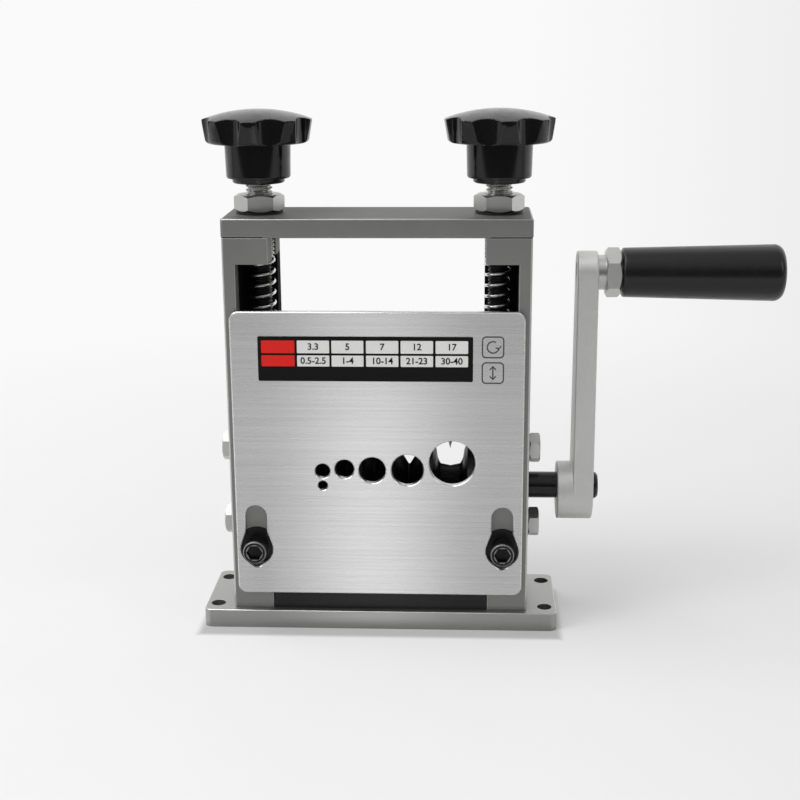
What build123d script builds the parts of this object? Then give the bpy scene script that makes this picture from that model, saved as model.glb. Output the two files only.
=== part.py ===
from build123d import *
import math
import os

# Hand crank wire stripper for a bench.
# Two channel-shaped side frames stand on a base plate and carry a crossbar. The crank turns a grooved
# feed roller in the lower bearing blocks. A set of round blades runs above it, in two slider blocks that
# the star knobs raise and lower through two screws. Wires go in from the front, through the guide plate.
# X is to the right, Y to the back, Z up, in millimetres; the origin is the middle of the base's underside.

os.makedirs("parts", exist_ok=True)

SIDES = (("left", -1), ("right", 1))

# Base plate
base_length = 134.0
base_depth = 40.0
base_thick = 7.0
base_corner_r = 3.0
mount_spacing_x = 125.0
mount_spacing_y = 26.4
mount_hole_d = 5.5

# Side frames: a channel in plan, open towards the middle, with a foot below and a roof above
frame_outer_x = 55.6
frame_half_y = 17.0
frame_top = 148.6
wall_inner_x = 51.0
channel_half_y = 9.0
front_flange_x = 40.6
rear_flange_x = 39.0
foot_top = 16.0
roof_bottom = 139.1
roof_slot_r = 5.7
window_bottom = 110.0

# Crossbar and tie bar
crossbar_half_x = 55.8
crossbar_top = 155.6
tie_bar_half_x = 40.4
tie_bar_depth = 12.0
tie_bar_top = 24.0

# Shafts and bearings
shaft_r = 5.0
running_gap = 0.03
roller_axis_z = 51.65
blade_axis_z = 82.7
bush_r = 6.5
bush_flange_r = 8.3
bush_flange_x = 37.4
bush_end_x = 50.0
shaft_end_x = 49.9
shaft_chamfer = 0.8
block_half_y = 8.85
block_bottom = 29.5
block_top = 71.2
slider_outer_x = 50.8
slider_bottom = 74.7
slider_top = 105.0
side_bolt_rise = 14.8

# Feed roller: middle of each groove, radius of its floor, half width at the top, half width of the floor
roller_r = 15.8
roller_half_x = 37.1
grooves = (
    (-20.6, 11.3, 2.7, 0.3),
    (-12.5, 11.3, 3.3, 0.3),
    (-2.2, 11.0, 4.4, 0.3),
    (10.7, 7.8, 5.4, 0.3),
    (26.4, 9.0, 6.4, 3.8),
)
wide_groove_dip = 0.8

# Blades
blade_r = 16.0
blade_half = 0.8
blade_bevel = 2.8
blade_edge = 0.05
spacer_r = 9.0

# Adjusting screws, their clips, lock nuts and star knobs
screw_x = 43.8
thread_r = 5.0
shank_r = 3.75
spigot_r = 2.95
spigot_bottom = 96.6
clip_bottom = 99.8
clip_top = 100.8
clip_r = 4.6
pocket_bottom = 96.0
pocket_top = 101.0
lock_washer_top = 156.6
lock_nut_top = 162.5
nut_flats = 16.0
screw_top = 183.0
knob_bottom = 166.7
knob_step_z = 168.5
knob_head_z = 181.0
knob_rim_z = 189.4
knob_top = 193.0
knob_r = 20.0
knob_lobes = 8
knob_valley_r = 18.0

# Springs between the screws' shoulders and the slider blocks
spring_wire_r = 0.575
spring_r = 4.7
spring_turns = 7

# Guide plate, its screws and its size label
plate_half_x = 53.4
plate_bottom = 14.1
plate_top = 122.5
plate_front_y = -19.8
plate_back_y = -17.2
plate_corner_r = 3.3
wire_holes = (
    (-20.6, 57.0, 3.6),
    (-20.6, 62.6, 5.6),
    (-12.5, 63.4, 7.2),
    (-2.2, 63.0, 10.0),
    (10.85, 63.2, 12.0),
    (27.3, 65.9, 17.0),
)
plate_screw_x = 46.0
plate_screw_z = 32.4
key_top = 48.8
key_neck_z = 37.8
key_wide_z = 31.6
key_bottom = 24.5
key_foot_r = 2.6
key_narrow_r = 3.95
key_wide_r = 5.95
sleeve_front_y = -21.0
label_x = (-43.2, 34.7)
label_z = (97.0, 113.5)
label_thick = 0.3
label_corner_r = 0.5

# Crank and handle
crank_inner_x = 72.5
crank_outer_x = 80.1
boss_inner_x = 66.8
boss_r = 10.95
boss_z = 49.8
crank_tip_r = 7.9
handle_z = 133.7
shaft_tip_x = 82.3
pin_r = 4.0
collar_r = 6.4
collar_outer_x = 82.9
handle_nut_outer_x = 88.3
grip_inner_x = 88.8
grip_outer_x = 147.3
grip_small_r = 9.05
grip_large_r = 10.35

# Screws and fits
m4_r = 2.0
m5_r = 2.5
m6_r = 3.0
press_gap = 0.02
seat_gap = 0.05
clear_gap = 0.2
edge_break = 0.5


def facing(direction, x, y, z):
    """A plane at a point, with its normal along the direction."""
    return Plane(origin=(x, y, z), z_dir=direction)


def upright(x):
    """The XZ plane with its origin moved along X."""
    return Plane(origin=(x, 0, 0), x_dir=(1, 0, 0), z_dir=(0, -1, 0))


def rod(r, x0, x1, z, bore=0.0):
    """A round bar or tube along X, at y = 0."""
    with BuildPart() as bar:
        with BuildSketch(Plane.YZ.offset(min(x0, x1))):
            with Locations((0, z)):
                Circle(r)
                if bore:
                    Circle(bore, mode=Mode.SUBTRACT)
        extrude(amount=abs(x1 - x0))
    return bar


def hexagon(flats, height, bore):
    """A nut or a bolt head with turned corners, standing on the XY plane."""
    corner_r = flats / math.sqrt(3)
    turned_r = flats / 2 - 0.1
    turned_z = 0.6 * (corner_r - turned_r)
    with BuildPart() as nut:
        with BuildSketch():
            RegularPolygon(flats / 2, 6, major_radius=False)
            if bore:
                Circle(bore, mode=Mode.SUBTRACT)
        extrude(amount=height)
        with BuildSketch(Plane.XZ):
            with BuildLine():
                Polyline(
                    (0, 0),
                    (turned_r, 0),
                    (corner_r, turned_z),
                    (corner_r, height - turned_z),
                    (turned_r, height),
                    (0, height),
                    close=True,
                )
            make_face()
        revolve(axis=Axis.Z, mode=Mode.INTERSECT)
    return nut.part


def socket_screw(head_r, head_height, stem_r, length, socket_flats):
    """A cap screw: its head stands on the XY plane and its stem points down."""
    with BuildPart() as screw:
        Cylinder(head_r, head_height, align=(Align.CENTER, Align.CENTER, Align.MIN))
        chamfer(screw.edges().group_by(Axis.Z)[-1], 0.4)
        Cylinder(stem_r, length, align=(Align.CENTER, Align.CENTER, Align.MAX))
        with BuildSketch(Plane.XY.offset(head_height)):
            RegularPolygon(socket_flats / 2, 6, major_radius=False)
        extrude(amount=-0.55 * head_height, mode=Mode.SUBTRACT)
    return screw.part


# ---------------------------------------------------------------- base plate
# A flat bar with rounded corners, four bench holes, and countersinks below for what stands on it.
frame_screw_x = 48.0
frame_screw_y = 11.5
bar_screw_x = 20.0
bar_y = tie_bar_depth / 2 - frame_half_y
frame_screws = [(s * frame_screw_x, y) for s in (-1, 1) for y in (-frame_screw_y, frame_screw_y)]
bar_screws = [(s * bar_screw_x, bar_y) for s in (-1, 1)]
base_sink_r = 5.0

with BuildPart() as base_plate:
    with BuildSketch():
        RectangleRounded(base_length, base_depth, base_corner_r)
    extrude(amount=base_thick)
    fillet(base_plate.edges().group_by(Axis.Z)[-1], edge_break)
    with Locations(Plane.XY.offset(base_thick)):
        with GridLocations(mount_spacing_x, mount_spacing_y, 2, 2):
            Hole(mount_hole_d / 2)
    with Locations([facing((0, 0, -1), x, y, 0) for x, y in frame_screws + bar_screws]):
        CounterSinkHole(m5_r + seat_gap, base_sink_r)
base_plate.part.label = "base_plate"
export_step(base_plate.part, "parts/base_plate.step")

# Countersunk screws, which come up through the base into the side frames and the tie bar.
sink_head_r = 4.8
sink_head_z = 0.15
sink_socket = 3.0
sink_socket_deep = 2.2
base_screw_top = 14.8
with BuildPart() as flat_screw:
    with BuildSketch(Plane.XZ):
        with BuildLine():
            Polyline(
                (0, sink_head_z),
                (sink_head_r, sink_head_z),
                (m5_r, sink_head_z + sink_head_r - m5_r),
                (m5_r, base_screw_top),
                (0, base_screw_top),
                close=True,
            )
        make_face()
    revolve(axis=Axis.Z)
    with BuildSketch():
        RegularPolygon(sink_socket / 2, 6, major_radius=False)
    extrude(amount=sink_socket_deep, mode=Mode.SUBTRACT)

with BuildPart() as base_screws:
    with Locations([(x, y, 0) for x, y in frame_screws + bar_screws]):
        add(flat_screw.part)
base_screws.part.label = "base_screws"
export_step(base_screws.part, "parts/base_screws.step")

# ---------------------------------------------------------------- tie bar
# The dark bar that joins the two feet behind the guide plate's lower edge.
with BuildPart() as lower_tie_bar:
    with BuildSketch(Plane.XY.offset(base_thick)):
        with Locations((0, bar_y)):
            Rectangle(2 * tie_bar_half_x, tie_bar_depth)
    extrude(amount=tie_bar_top - base_thick)
    chamfer(lower_tie_bar.edges().group_by(Axis.Z)[-1], edge_break)
    with Locations([facing((0, 0, -1), x, y, base_thick) for x, y in bar_screws]):
        Hole(m5_r + seat_gap, depth=base_screw_top - base_thick + 1)
lower_tie_bar.part.label = "lower_tie_bar"
export_step(lower_tie_bar.part, "parts/lower_tie_bar.step")

# ---------------------------------------------------------------- side frames
# Outer wall, two flanges, foot and roof in one piece. The front flange ends below the window through
# which the spring shows. The roof's slot, open to the middle, lets the screw and its spring through.
wall_drill = frame_outer_x - wall_inner_x + 1
shaft_hole_r = 6.0
washer_r = 7.0
spot_face_depth = 1.2
plate_tap_depth = 7.5
bar_bolt_x = 46.8
bar_bolt_y = -11.2
bar_bolt_head = 4.0
bar_bolt_head_r = 3.5
bar_bolt_socket = 3.0
dowel_y = 13.0
dowel_r = 2.0
dowel_bottom = 140.5
bar_drill = 5.5

for side, s in SIDES:
    with BuildPart() as side_frame:
        with BuildSketch(Plane.XY.offset(base_thick)):
            with BuildLine():
                Polyline(
                    (s * frame_outer_x, -frame_half_y),
                    (s * frame_outer_x, frame_half_y),
                    (s * rear_flange_x, frame_half_y),
                    (s * rear_flange_x, channel_half_y),
                    (s * wall_inner_x, channel_half_y),
                    (s * wall_inner_x, -channel_half_y),
                    (s * front_flange_x, -channel_half_y),
                    (s * front_flange_x, -frame_half_y),
                    close=True,
                )
            make_face()
        extrude(amount=frame_top - base_thick)
        with BuildSketch(Plane.XY.offset(base_thick)):
            with Locations((s * (front_flange_x + frame_outer_x) / 2, 0)):
                Rectangle(frame_outer_x - front_flange_x, 2 * frame_half_y)
        extrude(amount=foot_top - base_thick)
        with BuildSketch(Plane.XZ.offset(frame_half_y)):
            with Locations((s * (wall_inner_x + rear_flange_x) / 2, (window_bottom + roof_bottom) / 2)):
                Rectangle(wall_inner_x - rear_flange_x, roof_bottom - window_bottom)
        extrude(amount=channel_half_y - frame_half_y, mode=Mode.SUBTRACT)
        with BuildSketch(Plane.XY.offset(roof_bottom)):
            with Locations((s * (rear_flange_x + frame_outer_x) / 2, 0)):
                Rectangle(frame_outer_x - rear_flange_x, 2 * frame_half_y)
            with Locations((s * screw_x, 0)):
                Circle(roof_slot_r, mode=Mode.SUBTRACT)
            with Locations((s * (rear_flange_x + screw_x) / 2, 0)):
                Rectangle(screw_x - rear_flange_x, 2 * roof_slot_r, mode=Mode.SUBTRACT)
        extrude(amount=frame_top - roof_bottom)
        outer_corners = side_frame.edges().filter_by(Axis.Z).group_by(Axis.X)[-1 if s > 0 else 0]
        chamfer(outer_corners, edge_break)
        bolt_heights = (roller_axis_z - side_bolt_rise, roller_axis_z + side_bolt_rise)
        with Locations([facing((s, 0, 0), s * frame_outer_x, 0, z) for z in bolt_heights]):
            Hole(m6_r + clear_gap, depth=wall_drill)
        if side == "right":
            with Locations(facing((s, 0, 0), s * frame_outer_x, 0, roller_axis_z)):
                Hole(shaft_hole_r, depth=wall_drill)
        with Locations(facing((0, -1, 0), s * plate_screw_x, -frame_half_y, plate_screw_z)):
            CounterBoreHole(m5_r + seat_gap, washer_r + clear_gap, spot_face_depth, depth=plate_tap_depth)
        screw_rows = (-frame_screw_y, frame_screw_y)
        with Locations([facing((0, 0, -1), s * frame_screw_x, y, base_thick) for y in screw_rows]):
            Hole(m5_r + seat_gap, depth=base_screw_top - base_thick + 0.7)
        with Locations(facing((0, 0, -1), s * bar_bolt_x, bar_bolt_y, roof_bottom)):
            CounterBoreHole(
                m4_r + seat_gap,
                bar_bolt_head_r + clear_gap,
                bar_bolt_head + 0.1,
                depth=frame_top - roof_bottom + 1,
            )
        with Locations((s * bar_bolt_x, dowel_y, frame_top)):
            Hole(dowel_r + press_gap, depth=frame_top - dowel_bottom)
    side_frame.part.label = f"{side}_side_frame"
    export_step(side_frame.part, f"parts/{side}_side_frame.step")

# ---------------------------------------------------------------- crossbar
# The bar across the top, threaded for the adjusting screws, screwed up from below and dowelled.
crossbar_corner_r = 1.2
crossbar_round = 0.8
joint_chamfer = 0.4

with BuildPart() as top_crossbar:
    with BuildSketch(Plane.XY.offset(frame_top)):
        RectangleRounded(2 * crossbar_half_x, 2 * frame_half_y, crossbar_corner_r)
    extrude(amount=crossbar_top - frame_top)
    fillet(top_crossbar.edges().group_by(Axis.Z)[-1], crossbar_round)
    chamfer(top_crossbar.edges().group_by(Axis.Z)[0], joint_chamfer)
    for s in (-1, 1):
        with Locations((s * screw_x, 0, crossbar_top)):
            Hole(thread_r + running_gap)
        with Locations(facing((0, 0, -1), s * bar_bolt_x, bar_bolt_y, frame_top)):
            Hole(m4_r + seat_gap, depth=bar_drill)
        with Locations(facing((0, 0, -1), s * bar_bolt_x, dowel_y, frame_top)):
            Hole(dowel_r + press_gap, depth=bar_drill)
top_crossbar.part.label = "top_crossbar"
export_step(top_crossbar.part, "parts/top_crossbar.step")

bar_bolt_length = frame_top - roof_bottom - bar_bolt_head + bar_drill - 0.5
bar_bolt = socket_screw(bar_bolt_head_r, bar_bolt_head, m4_r, bar_bolt_length, bar_bolt_socket)
with BuildPart() as crossbar_screws:
    head_seat_z = roof_bottom + bar_bolt_head + 0.1
    with Locations([facing((0, 0, -1), s * bar_bolt_x, bar_bolt_y, head_seat_z) for s in (-1, 1)]):
        add(bar_bolt)
crossbar_screws.part.label = "crossbar_screws"
export_step(crossbar_screws.part, "parts/crossbar_screws.step")

dowel_length = frame_top - dowel_bottom + bar_drill - 0.4
with BuildPart() as crossbar_dowels:
    with Locations([(s * bar_bolt_x, dowel_y, dowel_bottom + 0.1) for s in (-1, 1)]):
        Cylinder(dowel_r, dowel_length, align=(Align.CENTER, Align.CENTER, Align.MIN))
crossbar_dowels.part.label = "crossbar_dowels"
export_step(crossbar_dowels.part, "parts/crossbar_dowels.step")

# ---------------------------------------------------------------- lower bearings
# A block in each channel, bolted through the outer wall, with a flanged bush for the crank's shaft.
side_bolt_reach = 10.0


def flanged_bush(s, z):
    """A bush with its flange at the inner side."""
    with BuildPart() as bush:
        with BuildSketch(Plane.YZ.offset(s * bush_flange_x)):
            with Locations((0, z)):
                Circle(bush_flange_r)
        extrude(amount=s * (rear_flange_x - bush_flange_x))
        with BuildSketch(Plane.YZ.offset(s * rear_flange_x)):
            with Locations((0, z)):
                Circle(bush_r)
        extrude(amount=s * (bush_end_x - rear_flange_x))
        with Locations(facing((-s, 0, 0), s * bush_flange_x, 0, z)):
            Hole(shaft_r + running_gap)
    return bush


for side, s in SIDES:
    with BuildPart() as bearing_block:
        with BuildSketch(Plane.YZ.offset(s * rear_flange_x)):
            with Locations((0, (block_bottom + block_top) / 2)):
                Rectangle(2 * block_half_y, block_top - block_bottom)
        extrude(amount=s * (wall_inner_x - rear_flange_x))
        chamfer(bearing_block.edges().filter_by(Axis.X), edge_break)
        with Locations(facing((-s, 0, 0), s * rear_flange_x, 0, roller_axis_z)):
            Hole(bush_r + press_gap)
        with Locations([facing((s, 0, 0), s * wall_inner_x, 0, z) for z in bolt_heights]):
            Hole(m6_r + seat_gap, depth=side_bolt_reach)
    bearing_block.part.label = f"{side}_lower_bearing_block"
    export_step(bearing_block.part, f"parts/{side}_lower_bearing_block.step")

    lower_bush = flanged_bush(s, roller_axis_z)
    lower_bush.part.label = f"{side}_lower_bush"
    export_step(lower_bush.part, f"parts/{side}_lower_bush.step")

# Hexagon bolts with their washers, two on each side.
side_washer = 0.7
side_washer_r = 5.9
side_bolt_head = 4.0
side_bolt_flats = 10.0
with BuildPart() as hex_bolt:
    add(hexagon(side_bolt_flats, side_bolt_head, 0))
    stem_length = side_washer + frame_outer_x - wall_inner_x + side_bolt_reach - 0.5
    Cylinder(m6_r, stem_length, align=(Align.CENTER, Align.CENTER, Align.MAX))

for side, s in SIDES:
    with BuildPart() as side_bolts:
        with Locations([facing((s, 0, 0), s * (frame_outer_x + side_washer), 0, z) for z in bolt_heights]):
            add(hex_bolt.part)
    side_bolts.part.label = f"{side}_side_bolts"
    export_step(side_bolts.part, f"parts/{side}_side_bolts.step")

    with BuildPart() as side_washers:
        with BuildSketch(Plane.YZ.offset(s * frame_outer_x)):
            with Locations([(0, z) for z in bolt_heights]):
                Circle(side_washer_r)
                Circle(m6_r + clear_gap, mode=Mode.SUBTRACT)
        extrude(amount=s * side_washer)
    side_washers.part.label = f"{side}_side_washers"
    export_step(side_washers.part, f"parts/{side}_side_washers.step")

# ---------------------------------------------------------------- slider blocks
# They slide in the channels and carry the blade shaft. The screw's spigot ends in a pocket, where a clip
# on it lifts the block; the spring above keeps the block down on the clip.
pocket_end_x = 49.5
pocket_half_y = 6.2

for side, s in SIDES:
    with BuildPart() as slider_block:
        with BuildSketch(Plane.YZ.offset(s * rear_flange_x)):
            with Locations((0, (slider_bottom + slider_top) / 2)):
                Rectangle(2 * block_half_y, slider_top - slider_bottom)
        extrude(amount=s * (slider_outer_x - rear_flange_x))
        chamfer(slider_block.edges().filter_by(Axis.X), edge_break)
        with Locations(facing((-s, 0, 0), s * rear_flange_x, 0, blade_axis_z)):
            Hole(bush_r + press_gap)
        with BuildSketch(Plane.YZ.offset(s * rear_flange_x)):
            with Locations((0, (pocket_bottom + pocket_top) / 2)):
                Rectangle(2 * pocket_half_y, pocket_top - pocket_bottom)
        extrude(amount=s * (pocket_end_x - rear_flange_x), mode=Mode.SUBTRACT)
        with Locations((s * screw_x, 0, slider_top)):
            Hole(spigot_r + 0.1, depth=slider_top - pocket_top)
    slider_block.part.label = f"{side}_slider_block"
    export_step(slider_block.part, f"parts/{side}_slider_block.step")

    upper_bush = flanged_bush(s, blade_axis_z)
    upper_bush.part.label = f"{side}_upper_bush"
    export_step(upper_bush.part, f"parts/{side}_upper_bush.step")

# ---------------------------------------------------------------- feed roller and its shaft
# The roller's grooves carry the wires, one below each blade, from the thinnest on the left to the widest,
# whose floor dips a little in the middle. A pin through a land fixes it to the crank's shaft.
roller_pin_x = -30.5
roller_pin_r = 1.5
roller_pin_half = 15.0
land_chamfer = 0.6

with BuildPart() as feed_roller:
    with BuildSketch(Plane.XZ):
        profile = [
            (-roller_half_x, roller_axis_z + shaft_r + press_gap),
            (-roller_half_x, roller_axis_z + roller_r - land_chamfer),
            (-roller_half_x + land_chamfer, roller_axis_z + roller_r),
        ]
        for x, floor_r, top_half, floor_half in grooves:
            dip = wide_groove_dip if floor_half > 1 else 0.1
            profile += [
                (x - top_half, roller_axis_z + roller_r),
                (x - floor_half, roller_axis_z + floor_r),
                (x, roller_axis_z + floor_r - dip),
                (x + floor_half, roller_axis_z + floor_r),
                (x + top_half, roller_axis_z + roller_r),
            ]
        profile += [
            (roller_half_x - land_chamfer, roller_axis_z + roller_r),
            (roller_half_x, roller_axis_z + roller_r - land_chamfer),
            (roller_half_x, roller_axis_z + shaft_r + press_gap),
        ]
        with BuildLine():
            Polyline(*profile, close=True)
        make_face()
    revolve(axis=Axis((0, 0, roller_axis_z), (1, 0, 0)))
    with Locations((roller_pin_x, 0, roller_axis_z)):
        Cylinder(roller_pin_r + press_gap, 2 * roller_r + 2, mode=Mode.SUBTRACT)
feed_roller.part.label = "feed_roller"
export_step(feed_roller.part, "parts/feed_roller.step")

drive_shaft = rod(shaft_r, -shaft_end_x, shaft_tip_x, roller_axis_z)
with drive_shaft:
    chamfer(drive_shaft.edges().filter_by(GeomType.CIRCLE), shaft_chamfer)
    with Locations((roller_pin_x, 0, roller_axis_z)):
        Cylinder(roller_pin_r + press_gap, 4 * shaft_r, mode=Mode.SUBTRACT)
drive_shaft.part.label = "drive_shaft"
export_step(drive_shaft.part, "parts/drive_shaft.step")

with BuildPart() as roller_pin:
    with Locations((roller_pin_x, 0, roller_axis_z)):
        Cylinder(roller_pin_r, 2 * roller_pin_half)
roller_pin.part.label = "roller_pin"
export_step(roller_pin.part, "parts/roller_pin.step")

# ---------------------------------------------------------------- blade set
# Five round blades with bevelled edges, with spacer tubes between them and a collar at each end.
blade_shaft = rod(shaft_r, -shaft_end_x, shaft_end_x, blade_axis_z)
with blade_shaft:
    chamfer(blade_shaft.edges().filter_by(GeomType.CIRCLE), shaft_chamfer)
blade_shaft.part.label = "blade_shaft"
export_step(blade_shaft.part, "parts/blade_shaft.step")

blade_bore_r = shaft_r + press_gap
for number, (x, floor_r, top_half, floor_half) in enumerate(grooves, start=1):
    with BuildPart() as blade:
        with BuildSketch(Plane.XZ):
            with BuildLine():
                Polyline(
                    (x - blade_half, blade_axis_z + blade_bore_r),
                    (x - blade_half, blade_axis_z + blade_r - blade_bevel),
                    (x - blade_edge, blade_axis_z + blade_r),
                    (x + blade_edge, blade_axis_z + blade_r),
                    (x + blade_half, blade_axis_z + blade_r - blade_bevel),
                    (x + blade_half, blade_axis_z + blade_bore_r),
                    close=True,
                )
            make_face()
        revolve(axis=Axis((0, 0, blade_axis_z), (1, 0, 0)))
    blade.part.label = f"round_blade_{number}"
    export_step(blade.part, f"parts/round_blade_{number}.step")

blade_places = [groove[0] for groove in grooves]
with BuildPart() as blade_spacers:
    for left_blade, right_blade in zip(blade_places, blade_places[1:]):
        add(rod(spacer_r, left_blade + blade_half, right_blade - blade_half, blade_axis_z, blade_bore_r).part)
blade_spacers.part.label = "blade_spacers"
export_step(blade_spacers.part, "parts/blade_spacers.step")

with BuildPart() as blade_end_collars:
    add(rod(spacer_r, -roller_half_x, blade_places[0] - blade_half, blade_axis_z, blade_bore_r).part)
    add(rod(spacer_r, blade_places[-1] + blade_half, roller_half_x, blade_axis_z, blade_bore_r).part)
blade_end_collars.part.label = "blade_end_collars"
export_step(blade_end_collars.part, "parts/blade_end_collars.step")

# ---------------------------------------------------------------- adjusting screws
# Threaded in the crossbar and locked by a nut. Below the shoulder a thinner shank runs through the spring
# to the slider block, and the spigot's groove holds the clip in the block's pocket.
shoulder_z = roof_bottom
groove_r = 2.2
clip_slot = 3.6

for side, s in SIDES:
    screw_axis = Axis((s * screw_x, 0, 0), (0, 0, 1))
    with BuildPart() as adjusting_screw:
        with BuildSketch(upright(s * screw_x)):
            with BuildLine():
                Polyline(
                    (0, spigot_bottom),
                    (spigot_r - 0.4, spigot_bottom),
                    (spigot_r, spigot_bottom + 0.4),
                    (spigot_r, clip_bottom - seat_gap),
                    (groove_r, clip_bottom - seat_gap),
                    (groove_r, clip_top + seat_gap),
                    (spigot_r, clip_top + seat_gap),
                    (spigot_r, slider_top + 0.1),
                    (shank_r, slider_top + 0.1),
                    (shank_r, shoulder_z),
                    (thread_r, shoulder_z),
                    (thread_r, screw_top),
                    (0, screw_top),
                    close=True,
                )
            make_face()
        revolve(axis=screw_axis)
    adjusting_screw.part.label = f"{side}_adjusting_screw"
    export_step(adjusting_screw.part, f"parts/{side}_adjusting_screw.step")

    with BuildPart() as screw_clip:
        with BuildSketch(Plane.XY.offset(clip_bottom)):
            with Locations((s * screw_x, 0)):
                Circle(clip_r)
                Circle(groove_r + 0.03, mode=Mode.SUBTRACT)
            with Locations((s * (screw_x - clip_r / 2), 0)):
                Rectangle(clip_r, clip_slot, mode=Mode.SUBTRACT)
        extrude(amount=clip_top - clip_bottom)
    screw_clip.part.label = f"{side}_screw_clip"
    export_step(screw_clip.part, f"parts/{side}_screw_clip.step")

# Lock nuts on thin dark washers; each nut stands at the angle at which it was tightened.
nut_turn = {"left": 11.0, "right": -1.0}
lock_washer_r = 8.6
lock_nut_blank = hexagon(nut_flats, lock_nut_top - lock_washer_top, thread_r + running_gap)
for side, s in SIDES:
    with BuildPart() as lock_nut:
        with Locations(Location((s * screw_x, 0, lock_washer_top), (0, 0, nut_turn[side]))):
            add(lock_nut_blank)
    lock_nut.part.label = f"{side}_lock_nut"
    export_step(lock_nut.part, f"parts/{side}_lock_nut.step")

    with BuildPart() as lock_washer:
        with BuildSketch(Plane.XY.offset(crossbar_top)):
            with Locations((s * screw_x, 0)):
                Circle(lock_washer_r)
                Circle(thread_r + clear_gap, mode=Mode.SUBTRACT)
        extrude(amount=lock_washer_top - crossbar_top)
    lock_washer.part.label = f"{side}_lock_washer"
    export_step(lock_washer.part, f"parts/{side}_lock_washer.step")

# ---------------------------------------------------------------- star knobs
# A domed head with shallow valleys round its rim, on a hub that steps in at the bottom.
valley_turn = {"left": -81.0, "right": -99.5}
scoop_r = 8.0
lobe_round = 2.5
rim_low_r = 18.9
rim_round = 1.6
hub_top_r = 12.0
hub_low_r = 11.7
hub_step_r = 9.55
dome_rise = knob_top - knob_rim_z
dome_r = (knob_r**2 + dome_rise**2) / (2 * dome_rise)
dome_half_z = knob_top - dome_r + math.sqrt(dome_r**2 - (knob_r / 2) ** 2)

for side, s in SIDES:
    knob_axis = Axis((s * screw_x, 0, 0), (0, 0, 1))
    with BuildPart() as star_knob:
        with BuildSketch(Plane(origin=(s * screw_x, 0, knob_head_z))):
            Circle(knob_r)
            with PolarLocations(knob_valley_r + scoop_r, knob_lobes, start_angle=valley_turn[side]):
                Circle(scoop_r, mode=Mode.SUBTRACT)
            fillet(vertices(), lobe_round)
        extrude(amount=knob_top - knob_head_z)
        with BuildSketch(upright(s * screw_x)):
            with BuildLine():
                Line((0, knob_top), (0, knob_head_z))
                Line((0, knob_head_z), (rim_low_r - rim_round, knob_head_z))
                RadiusArc(
                    (rim_low_r - rim_round, knob_head_z),
                    (rim_low_r, knob_head_z + rim_round),
                    -rim_round,
                )
                Line((rim_low_r, knob_head_z + rim_round), (knob_r, knob_rim_z))
                ThreePointArc((knob_r, knob_rim_z), (knob_r / 2, dome_half_z), (0, knob_top))
            make_face()
        revolve(axis=knob_axis, mode=Mode.INTERSECT)
        with BuildSketch(upright(s * screw_x)):
            with BuildLine():
                Polyline(
                    (0, knob_bottom),
                    (hub_step_r, knob_bottom),
                    (hub_step_r, knob_step_z),
                    (hub_low_r, knob_step_z),
                    (hub_top_r, knob_head_z),
                    (hub_top_r, knob_head_z + 1),
                    (0, knob_head_z + 1),
                    close=True,
                )
            make_face()
        revolve(axis=knob_axis)
        with Locations(facing((0, 0, -1), s * screw_x, 0, knob_bottom)):
            Hole(thread_r + press_gap, depth=screw_top - knob_bottom)
    star_knob.part.label = f"{side}_star_knob"
    export_step(star_knob.part, f"parts/{side}_star_knob.step")

# ---------------------------------------------------------------- springs
# One wire each: a straight end on the block, a bend, seven turns, a bend and a straight end at the shoulder.
spring_start = {"left": 170.0, "right": 108.0}
spring_bottom = slider_top + press_gap
spring_top = shoulder_z - 0.05
end_straight = 2 * spring_wire_r
bend_rise = 1.9
bend_turn = 30.0
quarters = 4
samples = 900


def biarc(p0, t0, p1, t1):
    """Two arcs from p0 to p1 that share a tangent where they meet, each as its three points."""
    chord = p1 - p0
    along = chord.dot(t0 + t1)
    spread = 2 * (1 - t0.dot(t1))
    reach = (math.sqrt(along**2 + spread * chord.dot(chord)) - along) / spread
    corner0 = p0 + t0 * reach
    corner1 = p1 - t1 * reach
    joint = (corner0 + corner1) * 0.5
    arcs = []
    for start, corner, end in ((p0, corner0, joint), (joint, corner1, p1)):
        weight = (end - start).length / (2 * reach)
        middle = (start + corner * (2 * weight) + end) * (1 / (2 + 2 * weight))
        arcs.append((start, middle, end))
    return arcs


def arc_radius(start, middle, end):
    a = (middle - start).length
    b = (end - middle).length
    c = (end - start).length
    half = (a + b + c) / 2
    area = math.sqrt(half * (half - a) * (half - b) * (half - c))
    return a * b * c / (4 * area)


def spring_route(x, start_turn):
    """The points and directions along one spring, from its lower bend to its upper bend."""
    helix_bottom = spring_bottom + end_straight + bend_rise
    helix_top = spring_top - end_straight - bend_rise
    rise = (helix_top - helix_bottom) / (2 * math.pi * spring_turns)
    slope = math.hypot(spring_r, rise)
    stations = []

    def station(angle, z, upright):
        place = Vector(x + spring_r * math.cos(angle), spring_r * math.sin(angle), z)
        wound = Vector(-spring_r * math.sin(angle), spring_r * math.cos(angle), rise) * (1 / slope)
        stations.append((place, Vector(0, 0, 1) if upright else wound))

    first = math.radians(start_turn)
    last = first + 2 * math.pi * spring_turns
    station(first - math.radians(bend_turn), spring_bottom + end_straight, True)
    for step in range(quarters * spring_turns + 1):
        angle = first + step * 2 * math.pi / quarters
        station(angle, helix_bottom + rise * (angle - first), False)
    station(last + math.radians(bend_turn), spring_top - end_straight, True)
    return stations


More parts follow.
